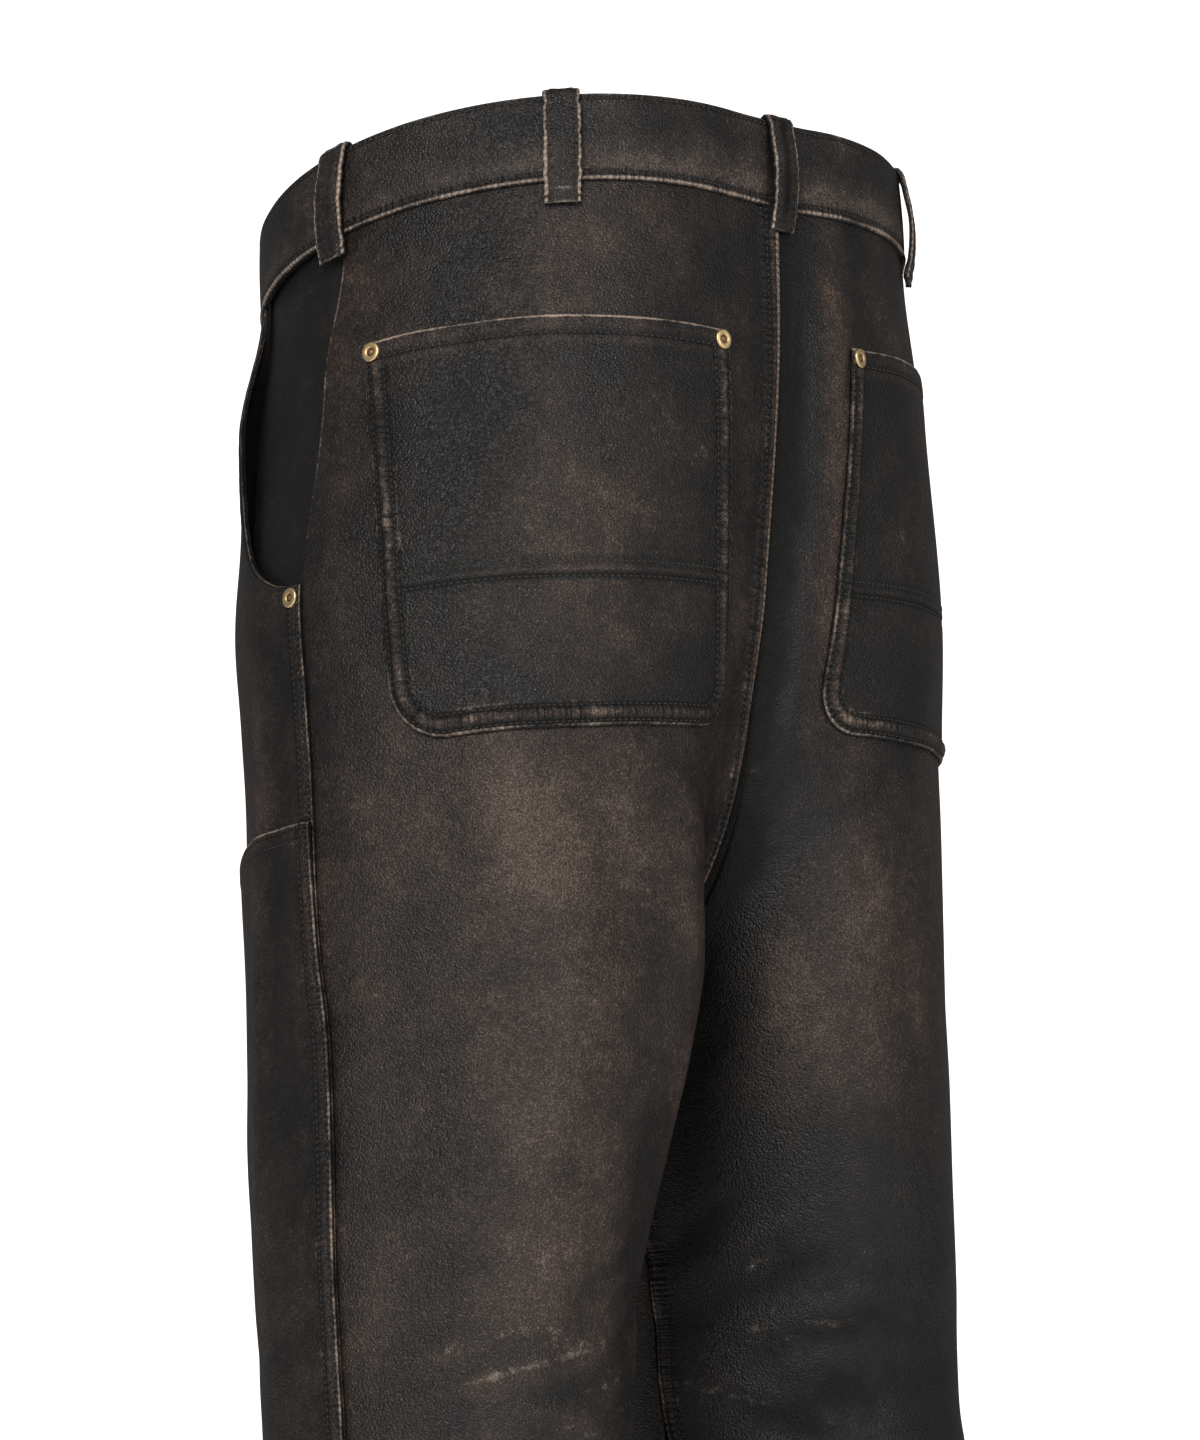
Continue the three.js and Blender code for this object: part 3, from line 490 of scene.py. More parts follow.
def leather_material(name, ground, rubbed, speck_colour, frayed, bias):
    """Drum-dyed cowhide, near-black, rubbed to taupe; pale pebble specks partly painted glints,
    painted shade in hollows.
    """
    material, node, place = new_material(name)

    def maths(operation, *values):
        made = node("ShaderNodeMath", dict(enumerate(values)), operation=operation)
        return made.outputs[0]

    def noise(scale, detail, rough):
        inputs = {"Vector": place, "Scale": scale, "Detail": detail, "Roughness": rough}
        return node("ShaderNodeTexNoise", inputs).outputs["Fac"]

    def varied(value, fac, share):
        """A value with a share of a noise added, as much below it as above."""
        return maths("MULTIPLY_ADD", maths("SUBTRACT", fac, 0.5), share, value)

    def ranged(value, low, high, to_low=0.0, to_high=1.0):
        inputs = {"Value": value, "From Min": low, "From Max": high}
        inputs |= {"To Min": to_low, "To Max": to_high}
        made = node("ShaderNodeMapRange", inputs, interpolation_type="SMOOTHSTEP")
        return made.outputs["Result"]

    def wear_and_light_marks(key):
        return node("ShaderNodeAttribute", attribute_name=key).outputs["Fac"]

    def blend(amount, low, high):
        inputs = {0: amount, 6: low, 7: high}
        return node("ShaderNodeMix", inputs, data_type="RGBA").outputs[2]

    broad = noise(scale=11, detail=4, rough=0.6)
    patch = noise(scale=42, detail=6, rough=0.66)
    scuff = noise(scale=230, detail=5, rough=0.7)
    speck = noise(scale=1250, detail=3, rough=0.75)
    cells = node("ShaderNodeTexVoronoi", {"Vector": place, "Scale": 950, "Randomness": 1})
    pebble = maths("SUBTRACT", 1.0, cells.outputs["Distance"])
    wrinkles = node(
        "ShaderNodeTexVoronoi",
        {"Vector": place, "Scale": 330, "Randomness": 1},
        feature="DISTANCE_TO_EDGE",
    ).outputs["Distance"]
    edge, wear_and_painted_light, pucker, length = (wear_and_light_marks(key) for key in ("edge", "wear_and_painted_light", "pucker", "length"))
    gather = node(
        "ShaderNodeTexNoise",
        {"W": maths("MULTIPLY", length, PUCKERS_PER_METRE), "Scale": 1.0, "Detail": 2.0},
        noise_dimensions="1D",
    ).outputs["Fac"]
    gather = maths("MULTIPLY", maths("SUBTRACT", gather, 0.5), pucker)

    amount = varied(varied(varied(bias, broad, 1.2), patch, 1.2), scuff, 0.5)
    amount = maths("MULTIPLY_ADD", gather, 0.7, amount)
    amount = maths("ADD", amount, wear_and_painted_light)
    held = maths("MINIMUM", maths("MAXIMUM", amount, 0.0), 1.0)
    # Pale specks on the pebble tops: partly rubbed-bare leather, partly painted glints.
    bright = maths("MULTIPLY_ADD", held, 0.48, varied(0.3, speck, 2.4))
    specks_and_glints = maths("MULTIPLY", ranged(varied(bright, scuff, 0.4), 0.6, 1.05), 0.44)
    beads = maths("SINE", maths("MULTIPLY", length, BEAD_TURNS))
    beads = maths("MULTIPLY_ADD", beads, 0.25, 0.75)
    worn_edge = varied(varied(varied(edge, scuff, 1.3), speck, 1.2), patch, 2.2)
    worn_edge = maths("MULTIPLY", ranged(worn_edge, 0.45, 1.45), beads)
    darkest_tone = tuple(DARKEST_SHARE * value for value in ground[:3]) + (1,)
    colour = blend(ranged(amount, -0.1, 1.15), ground, rubbed)
    colour = blend(specks_and_glints, colour, speck_colour)
    # Below zero the colour darkens: painted shade in troughs, stitch grooves and shaded places,
    # and unrubbed finish in random dark patches.
    colour = blend(ranged(amount, -0.7, 0.0), darkest_tone, colour)
    colour = blend(worn_edge, colour, frayed)

    grain = maths("MULTIPLY_ADD", scuff, 0.5, pebble)
    bumps = node("ShaderNodeBump", {"Height": grain, "Strength": 0.8, "Distance": 0.0006})
    normal = bumps.outputs["Normal"]
    for height, strength, distance in (
        (ranged(wrinkles, 0.0, 0.22), 0.2, 0.0004),
        (gather, 0.9, 0.0026),
        (patch, 0.3, 0.002),
    ):
        inputs = {"Height": height, "Strength": strength, "Distance": distance, "Normal": normal}
        normal = node("ShaderNodeBump", inputs).outputs["Normal"]
    rough = maths("ADD", ranged(amount, -0.7, 0.1, 0.32, 0.0), ranged(amount, 0, 1, 0.43, 0.56))
    rough = varied(rough, scuff, 0.3)
    inputs = {"Base Color": colour, "Roughness": rough, "Normal": normal}
    add_surface(node, inputs | {"Specular IOR Level": 0.42})
    return material


worn_leather = leather_material(
    "worn_leather",
    ground=(0.0081, 0.0079, 0.0082, 1),
    rubbed=(0.040, 0.0265, 0.0205, 1),
    speck_colour=(0.27, 0.205, 0.165, 1),
    frayed=(0.40, 0.32, 0.26, 1),
    bias=0.31,
)

# Thin worn lines along the sharpest creases, laid out as the folds are, with their strength last.
WORN_LINES = [
    (1, 0.63, 538, -14, 34, 1.6, 0.65),
    (1, 0.68, 548, -16, 34, 1.5, 0.8),
    (1, 0.75, 556, -15, 34, 1.6, 0.78),
    (1, 0.8, 563, -8, 29, 1.6, 0.78),
    (1, 0.73, 574, 16, 29, 1.6, 0.78),
    (1, 0.72, 536, 0, 23, 9.0, 0.26),
    (-1, 0.93, 551, -16, 39, 1.6, 0.7),
    (-1, 0.89, 526, 12, 47, 1.5, 0.56),
    (-1, 0.85, 518, 6, 47, 1.5, 0.56),
    (-1, 0.95, 480, 34, 34, 1.4, 0.35),
    (-1, 0.9, 490, 28, 34, 1.4, 0.35),
    (-1, 0.85, 506, 14, 39, 1.4, 0.35),
    (0, 0.3, 596, 4, 47, 1.6, 0.65),
    (0, 0.22, 616, -8, 44, 1.6, 0.65),
    (0, 0.74, 692, -6, 52, 1.6, 0.65),
    (0, 0.66, 722, 9, 52, 1.6, 0.65),
    (0, 0.75, 905, 10, 52, 1.6, 0.54),
    (0, 0.3, 1002, 10, 52, 1.6, 0.54),
]

# Lightened and darkened places: half, t, drop, width, height, strength. Positive strength is
# rubbed wear and in part painted highlight; negative strength is painted shade.
WEAR_AND_SHADE_SPOTS = [
    (1, 0.77, 66, 44, 26, 0.3),
    (1, 0.73, 308, 80, 40, 0.35),
    (1, 0.71, 430, 34, 130, 0.1),
    (1, 0.62, 400, 60, 140, 0.12),
    (1, 0.72, 560, 90, 50, -0.12),
    (1, 0.62, 70, 28, 60, -0.25),
    (1, 0.86, 100, 30, 60, -0.2),
    (1, 0.9, 330, 30, 60, -0.25),
    # Painted highlight along the ridge beside the centre back.
    (-1, 0.93, 190, 12, 100, 0.42),
    (-1, 0.9, 90, 40, 34, 0.15),
    # Painted shade in the trough beside the centre back, down the cleft and over the lower right
    # leg.
    (-1, 0.985, 150, 18, 110, -0.9),
    (-1, 0.98, 330, 34, 120, -0.9),
    (-1, 0.8, 560, 100, 90, -0.75),
    (-1, 0.88, 450, 60, 60, -0.15),
    (-1, 0.86, 360, 80, 60, 0.15),
    (0, 0.25, 560, 60, 90, 0.4),
    (0, 0.25, 300, 60, 100, 0.2),
    (0, 0.75, 900, 60, 90, 0.2),
    (0, 0.42, 300, 50, 260, -0.04),
]

under_rows = RISE_TOP + (CROTCH - RISE_TOP) * np.sin(np.linspace(0, math.pi / 2, 71))
leg_rows = np.linspace(CROTCH, OUTSEAM, 234)[1:]
rise_rows = np.linspace(PANEL_TOP, RISE_TOP, 53)[:-1]
tucked_rows = BAND_HEIGHT - np.array([7, 3, 0.6])
drops = np.concatenate([tucked_rows, rise_rows, under_rows, leg_rows])
drop = drops[:, None]
for half, word in ((1, "left"), (-1, "right")):
    share = fine_edges(width=250, step=3.6)
    t = (side_t(drop) + HALF_SEAM) * (1 - share) + (1 - middle_seam(drop)) * share
    inner = layer(half, t, drop, inner_offset(drop))
    from_side = lengths(layer(half, t, drop, LEATHER), 1)
    from_middle = from_side[:, -1:] - from_side
    seat = 1 - smooth(drop, CROTCH - SEAM_TURNS, CROTCH)
    lapped = felled(from_middle, drop, CENTRE_BAND, 1.4, CENTRE_ROWS, 11)
    band = (lapped if half > 0 else trench(from_middle, 1.0)) * seat
    inseam = felled(from_middle, drop, INSEAM_BAND, 0.7, SEAM_ROWS, 12) * (1 - seat)
    under_band = -0.3 * bump(drop, PANEL_TOP, 3)
    relief = band + inseam + trench(from_side) + hem_relief(drop) + under_band
    outer = layer(half, t, drop, LEATHER + relief)
    ridge = np.clip(ridges(outer), -1.5, 1.5)
    # Ridges lightened as wear and painted highlight, troughs darkened as painted shade.
    wear_and_painted_light = 0.2 * ridge + spots(half, t, drop, WEAR_AND_SHADE_SPOTS)
    banded = (from_middle < CENTRE_BAND) & ((drop > CROTCH) | (half > 0))
    # Painted highlight on the puffed crest of the felled band, between its rows.
    wear_and_painted_light = wear_and_painted_light + np.where(banded, 0.5 * bump(from_middle, 5.7, 2), 0)
    edge = (3.6 * seat + 0.9 * (1 - seat)) * bump(from_middle, 1.0, 1.5)
    edge = edge * np.where((drop < CROTCH) & (half < 0), 0, 1)
    # Painted shade on the right panel beside the lapped centre-back band.
    if half < 0:
        wear_and_painted_light = wear_and_painted_light - 0.9 * bump(from_middle, 0, 5) * seat
    edge = edge + 0.55 * bump(from_middle, CENTRE_BAND, 1.3) * banded
    edge = np.maximum(edge, 0.7 * bump(drop, OUTSEAM, 1.2)) + depth_of(WORN_LINES, half, t, drop)
    edge = edge + 0.8 * bump(from_side, 0.5, 1.0) * (drop < MOUTH_BOTTOM)
    pucker = 1 - smooth(from_middle, CENTRE_BAND - 2, CENTRE_BAND + 3)
    pucker = pucker * np.where(drop < CROTCH, 1.7 if half > 0 else 0.3, 1)
    # Painted shade in the stitch grooves of the centre-back band and the inseam.
    if half > 0:
        wear_and_painted_light = wear_and_painted_light - 1.4 * row_grooves(from_middle, CENTRE_ROWS, (0.8, 0.9)) * seat
    wear_and_painted_light = wear_and_painted_light - 0.8 * row_grooves(from_middle, SEAM_ROWS, (0.8, 0.8)) * (1 - seat)
    wear_and_light_marks = {"edge": edge, "wear_and_painted_light": wear_and_painted_light, "pucker": pucker, "length": drop / 1000}
    panel = cloth_wall("hide_back_" + word, inner, outer, wear_and_light_marks, worn_leather)
    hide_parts("back_" + word)
    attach(panel, "root")
    normal = skin(half, t, drop)[1]
    seat_end = int(np.searchsorted(drops, CROTCH - 4))
    if half > 0:
        for row in CENTRE_ROWS:
            sew_across(outer, normal, from_middle, row, 0, seat_end)
    for row in SEAM_ROWS:
        sew_across(outer, normal, from_middle, row, seat_end + 12)
    sew_along(outer, normal, drop, OUTSEAM - HEM_ROW)

# Fronts
# Each is one panel of the same hide. Its side edge laps over the back with two rows of stitches
# and runs on up round the curved pocket mouth. The left one laps over the right one at the fly,
# which is sewn with a curved double row.
MOUTH_ROUND = 52.0
MOUTH_SLANT = 30.0
MOUTH_GAPE = 6.0
MOUTH_REACH = 42.0
FLY_BOTTOM = 205.0
FLY_LAP = 8.0
FLY_LIFT = 3.2
FLY_WIDTH = 40.0
FLY_CURVE = 38.0
FLY_ROWS_APART = 6.0
FRONT_ROWS = (1.9, 6.4)
SIDE_BAND = 9.0
KNEE_TOP = 305.0
KNEE_FALL = 92.0
KNEE_BOTTOM = 772.0


def mouth_share(drop):
    return np.clip((drop - BAND_HEIGHT) / (MOUTH_BOTTOM - BAND_HEIGHT), 0, 1)


def mouth_reach(drop):
    share = mouth_share(drop)
    return MOUTH_ROUND * np.sqrt(1 - share ** 6) + MOUTH_SLANT * (1 - share)


def front_lift(half):
    def lift(t, drop):
        from_side = (side_t(drop) - t) * HALF_ROUND
        beside = smooth(MOUTH_REACH - (from_side - mouth_reach(drop)), 0, MOUTH_REACH)
        gape = MOUTH_GAPE * beside * np.sin(math.pi * mouth_share(drop) ** 0.8) ** 2
        rise = np.where(drop > MOUTH_BOTTOM, 0, gape)
        if half > 0:
            down = 1 - smooth(drop, FLY_BOTTOM - 20, FLY_BOTTOM + 15)
            across = 1 - smooth(t * HALF_ROUND, FLY_WIDTH * 0.5, FLY_WIDTH * 1.4)
            rise = rise + FLY_LIFT * down * across
        return rise

    return lift


mouth_rows = MOUTH_BOTTOM - 40 * (1 - np.sin(np.linspace(0, math.pi / 2, 27))) ** 1.4
rise_rows = np.linspace(PANEL_TOP, mouth_rows[0], 42)[:-1]
under_rows = under_rows[under_rows > MOUTH_BOTTOM + 1.5]
drops = np.concatenate([tucked_rows, rise_rows, mouth_rows, under_rows, leg_rows])
drop = drops[:, None]
for half, word in ((1, "left"), (-1, "right")):
    share = fine_edges(width=240, step=3.6)
    lap = FLY_LAP * (1 - smooth(drop, FLY_BOTTOM - 70, FLY_BOTTOM - 26)) * (half > 0)
    first = middle_seam(drop) - lap / HALF_ROUND
    mouth = np.minimum(side_t(drop) - HALF_SEAM, along(side_t(drop), -mouth_reach(drop), drop))
    last = np.where(drop < MOUTH_BOTTOM, mouth, side_t(drop) - HALF_SEAM)
    t = first * (1 - share) + last * share
    lift = front_lift(half)
    inner = layer(half, t, drop, inner_offset(drop), lift)
    from_middle = lengths(layer(half, t, drop, LEATHER, lift), 1)
    from_side = from_middle[:, -1:] - from_middle
    down_side = lengths(inner, 0)[:, -1:]
    covered = smooth(drop, KNEE_TOP - 6, KNEE_TOP + 4)
    covered = covered * (1 - smooth(drop, KNEE_BOTTOM - 4, KNEE_BOTTOM + 6))
    side = felled(from_side, down_side, SIDE_BAND, 0.8, SEAM_ROWS, 21) * (1 - covered)
    in_fly = drop < FLY_BOTTOM
    fly_edge = np.where(in_fly, -0.5 * bump(from_middle, 0, 0.9), 0)
    under_crotch = smooth(drop, CROTCH - SEAM_TURNS, CROTCH)
    below_fly = smooth(drop, FLY_BOTTOM - 4, FLY_BOTTOM + 4) * (1 - under_crotch)
    front_seam = felled(from_middle, drop, 8, 0.6, FRONT_ROWS, 22) * (half > 0) * below_fly
    inseam = trench(from_middle) * under_crotch
    bent = np.clip((drop - FLY_BOTTOM + FLY_CURVE) / FLY_CURVE, 0, 1)
    curve = (FLY_WIDTH - 2 + lap) * np.sqrt(1 - bent ** 2)
    fly_rows = bump(from_middle, curve, 0.9) + bump(from_middle, curve - FLY_ROWS_APART, 0.9)
    fly_relief = fly_edge - 0.4 * fly_rows * (half > 0) * in_fly
    under_band = -0.3 * bump(drop, PANEL_TOP, 3)
    relief = side + front_seam + inseam + fly_relief + hem_relief(drop) + under_band
    outer = layer(half, t, drop, LEATHER + relief, lift)
    ridge = np.clip(ridges(outer), -1.5, 1.5)
    # Ridges lightened as wear and painted highlight, troughs darkened as painted shade.
    wear_and_painted_light = 0.2 * ridge + spots(half, t, drop, WEAR_AND_SHADE_SPOTS)
    edge = 1.1 * bump(from_side, 0.6, 0.9) + 0.35 * bump(from_side, SIDE_BAND, 1.1)
    # Painted shade in the side seam's stitch grooves.
    wear_and_painted_light = wear_and_painted_light - 0.9 * row_grooves(from_side, SEAM_ROWS, (0.7, 0.8))
    edge = np.maximum(edge, 0.7 * bump(drop, OUTSEAM, 1.2))
    edge = edge + bump(from_middle, 0.2, 0.9) * (half > 0) * (drop < CROTCH)
    pucker = 1 - smooth(from_side, SIDE_BAND - 2, SIDE_BAND + 2)
    if half > 0:
        first_row, second_row = (bump(from_middle, row, 0.8) for row in FRONT_ROWS)
        # Painted shade in the fly and front seam stitch grooves.
        wear_and_painted_light = wear_and_painted_light - 1.1 * fly_rows * in_fly - 0.8 * (first_row + below_fly * second_row)
        wear_and_painted_light = wear_and_painted_light + 0.3 * bump(from_middle, 3, 3) * (drop < CROTCH)
        edge = edge + 0.5 * bump(from_middle, curve + 2, 1.2) * in_fly
    wear_and_light_marks = {"edge": edge, "wear_and_painted_light": wear_and_painted_light, "pucker": 0.7 * pucker, "length": down_side / 1000}
    panel = cloth_wall("hide_front_" + word, inner, outer, wear_and_light_marks, worn_leather)
    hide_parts("front_" + word)
    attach(panel, "root")
    normal = skin(half, t, drop, lift)[1]
    knee_start = int(np.searchsorted(drops, KNEE_TOP + 2))
    knee_end = int(np.searchsorted(drops, KNEE_BOTTOM))
    for row in SEAM_ROWS:
        sew_across(outer, normal, from_side, row, 0, knee_start)
        sew_across(outer, normal, from_side, row, knee_end)
    if half > 0:
        fly_end, seam_end = (int(np.searchsorted(drops, low)) for low in (FLY_BOTTOM, CROTCH - 6))
        for row, start in zip(FRONT_ROWS, (0, fly_end)):
            sew_across(outer, normal, from_middle, row, start, seam_end)
        for inset in (0, FLY_ROWS_APART):
            sew_across(outer, normal, from_middle - curve + inset, 0, 0, fly_end)
    sew_along(outer, normal, drop, OUTSEAM - HEM_ROW)

# Pocket facings
# A piece of hide behind each curved pocket mouth, tucked under the front and caught in the side
# seam and the waistband. Only the part inside the mouth shows.
FACING_TUCK = 14.0
FACING_SIDE = 12.0
BACK_INSET, FRONT_INSET, INSET_GROWS = 1.3, 1.8, 3.0
for half, word in ((1, "left"), (-1, "right")):
    drop = np.linspace(PANEL_TOP - FACING_TUCK, MOUTH_BOTTOM + FACING_TUCK, 76)[:, None]
    share = np.linspace(0, 1, 34)
    first = along(side_t(drop), FACING_SIDE, drop)
    last = along(side_t(drop), -mouth_reach(drop) - FACING_TUCK, drop)
    t = first * (1 - share) + last * share
    inset = BACK_INSET + (FRONT_INSET - BACK_INSET) * np.minimum(1, INSET_GROWS * share)
    inner, outer = (layer(half, t, drop, -inset - far) for far in (LEATHER, 0))
    wear_and_light_marks = {"edge": 0.0, "wear_and_painted_light": -0.3, "pucker": 0.0, "length": drop / 1000}
    facing = cloth_wall("hide_facing_" + word, inner, outer, wear_and_light_marks, worn_leather)
    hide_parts("pocket_facing_" + word)
    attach(facing, "root")

# Back pockets
# A patch of hide on each back panel, its sides and round bottom turned in and sewn with two rows
# 7.5 mm apart, which pucker the border. Its top is hemmed, and a double row crosses it.
POCKET_INNER, POCKET_WIDTH, POCKET_HEIGHT = 39.0, 174.0, 178.0
POCKET_RADIUS, POCKET_NARROWS, POCKET_SPREADS = 24.0, 12.0, 8.0
POCKET_DROPS = {1: (101, 98, 262, 276), -1: (97, 88, 257, 256)}
POCKET_THICK = 1.6
POCKET_BORDER = 9.5
POCKET_ROWS = (2.2, POCKET_BORDER)
POCKET_HEM_ROW = 8.0
CROSS_ROWS = (0.6 * POCKET_HEIGHT, 0.6 * POCKET_HEIGHT + 6.4)


def on_pocket(half, across, down, out):
    aside = across / POCKET_WIDTH
    top_inner, top_outer, bottom_inner, bottom_outer = POCKET_DROPS[half]
    top = top_inner + (top_outer - top_inner) * aside
    bottom = bottom_inner + (bottom_outer - bottom_inner) * aside
    drop = top + (bottom - top) * down / POCKET_HEIGHT
    t = along(1, -(POCKET_INNER + across), drop)
    return layer(half, t, drop, LEATHER + out)


near = np.array([0, 0.6, 1.3, 2.1, 3.1, 4.4, 5.8, 7.2, 8.3, 9.3, 10.3, 11.5])
for half, word in ((1, "left"), (-1, "right")):
    share = fine_edges(POCKET_WIDTH, step=2.4)
    straight = POCKET_HEIGHT - POCKET_RADIUS
    round_part = straight + POCKET_RADIUS * np.sin(np.linspace(0, math.pi / 2, 26)[1:])
    middle = np.linspace(11.5, straight, 60)[1:]
    down = np.concatenate([near, middle, round_part])[:, None]
    into = np.maximum(0, down - straight)
    corner = POCKET_RADIUS - np.sqrt(np.maximum(0, POCKET_RADIUS ** 2 - into ** 2))
    start = corner - POCKET_SPREADS * down / POCKET_HEIGHT
    end = POCKET_WIDTH - POCKET_NARROWS * down / POCKET_HEIGHT - corner
    across = start * (1 - share) + end * share
    down = np.broadcast_to(down, across.shape)
    full_start = -POCKET_SPREADS * down / POCKET_HEIGHT
    full_end = POCKET_WIDTH - POCKET_NARROWS * down / POCKET_HEIGHT
    aside = np.minimum(across - full_start, full_end - across)
    low = POCKET_HEIGHT - down
    in_corner = (aside < POCKET_RADIUS) & (low < POCKET_RADIUS)
    radial = POCKET_RADIUS - np.hypot(POCKET_RADIUS - aside, POCKET_RADIUS - low)
    from_edge = np.maximum(np.where(in_corner, radial, np.minimum(aside, low)), 0)
    length = np.where(aside < low, down, across + down[0, 0])
    border = 1 - smooth(from_edge, POCKET_BORDER - 1, POCKET_BORDER + 1.5)
    border = smooth(from_edge, 0, 1.2) * border
    below_hem = smooth(down, 8, 10)
    rope = (from_edge - POCKET_ROWS[0]) / (POCKET_ROWS[1] - POCKET_ROWS[0])
    rope = np.sin(math.pi * np.clip(rope, 0, 1))
    rows = row_grooves(from_edge, POCKET_ROWS, (0.8, 0.9)) * below_hem
    hem_row = bump(down, POCKET_HEM_ROW, 0.8)
    relief = (0.3 * border + rope * (1.2 + 0.2 * ripple(length, 31))) * below_hem
    relief -= 0.65 * rows + 0.6 * bump(from_edge, 0, 0.7)
    relief += 0.5 * (1 - smooth(down, 7.4, 9.6)) - 0.45 * hem_row - 0.5 * bump(down, 0, 0.8)
    for row in CROSS_ROWS:
        relief -= 0.6 * bump(down, row, 0.9) * smooth(from_edge, 2, 9)
    puff = np.sin(math.pi * np.clip(down / POCKET_HEIGHT, 0, 1)) * np.sin(math.pi * share)
    upper, lower = CROSS_ROWS
    between = smooth(down, upper, upper + 2) * (1 - smooth(down, upper + 4, lower))
    relief += 0.9 * puff + 0.2 * between
    inner = on_pocket(half, across, down, BED)
    outer = on_pocket(half, across, down, BED + POCKET_THICK + relief)
    edge = 0.9 * bump(from_edge, 0.8, 0.8)
    edge = edge + 0.5 * bump(from_edge, POCKET_BORDER + 1.5, 1.0) * below_hem
    # Lighter on the rope's crest: partly worn specks, partly painted highlight.
    edge = np.maximum(edge, 1.2 * bump(down, 0.4, 1.0)) + 0.55 * rope * below_hem
    speckled = 0.4 * rope * below_hem * (0.8 + 0.4 * ripple(length * 0.4, 35))
    worn_hem = 0.35 * bump(down, 10.5, 2.0) + 0.3 * bump(down, 4, 3)
    worn_middle = 0.35 * bump(share, 0.45, 0.25) * bump(down, 0.55 * POCKET_HEIGHT, 70)
    # Ridges lightened as wear and painted highlight, troughs darkened as painted shade.
    wear_and_painted_light = speckled + worn_hem + worn_middle - 0.2 + 0.2 * ridges(outer, 3)
    # Darker in the cross-row, border-row and hem-row grooves: painted shade.
    for row in CROSS_ROWS:
        wear_and_painted_light = wear_and_painted_light - 1.5 * bump(down, row, 1.0) + 0.25 * bump(down, row - 2, 1.2)
    wear_and_painted_light = wear_and_painted_light - rows - 0.9 * hem_row
    pucker = np.maximum(border * below_hem, 0.5 * (1 - smooth(down, 8, 11)))
    wear_and_light_marks = {"edge": edge, "wear_and_painted_light": wear_and_painted_light, "pucker": pucker, "length": length / 1000}
    pocket = cloth_wall("patch_pocket_" + word, inner, outer, wear_and_light_marks, worn_leather)
    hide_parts("back_pocket_" + word)
    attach(pocket, "root")
    sides = (across - full_start, full_end - across)
    way = on_pocket(half, across, down, BED + 3) - on_pocket(half, across, down, BED + 2)
    first_row, last_row = np.searchsorted(down[:, 0], (8.5, straight))
    for row in POCKET_ROWS:
        for from_side in sides:
            sew_across(outer, way, from_side, row, first_row, last_row + 1)
        arc = np.linspace(0, math.pi / 2, 14)
        radius = POCKET_RADIUS - row
        bottom_share = (POCKET_HEIGHT - row) / POCKET_HEIGHT
        low_start = -POCKET_SPREADS * bottom_share + POCKET_RADIUS
        low_end = POCKET_WIDTH - POCKET_NARROWS * bottom_share - POCKET_RADIUS
        xs = np.concatenate([
            low_start - radius * np.cos(arc),
            np.linspace(low_start, low_end, 30)[1:-1],
            low_end + radius * np.sin(arc),
        ])
        ys = np.concatenate([
            straight + radius * np.sin(arc),
            np.full(28, straight + radius),
            straight + radius * np.cos(arc),
        ])
        seated = BED + POCKET_THICK + 0.05
        points = on_pocket(half, xs, ys, seated)
        sewn_rows.append((points, on_pocket(half, xs, ys, seated + 1) - points))
    for row in (POCKET_HEM_ROW, *CROSS_ROWS):
        sew_along(outer, way, down, row, 2, len(share) - 2)

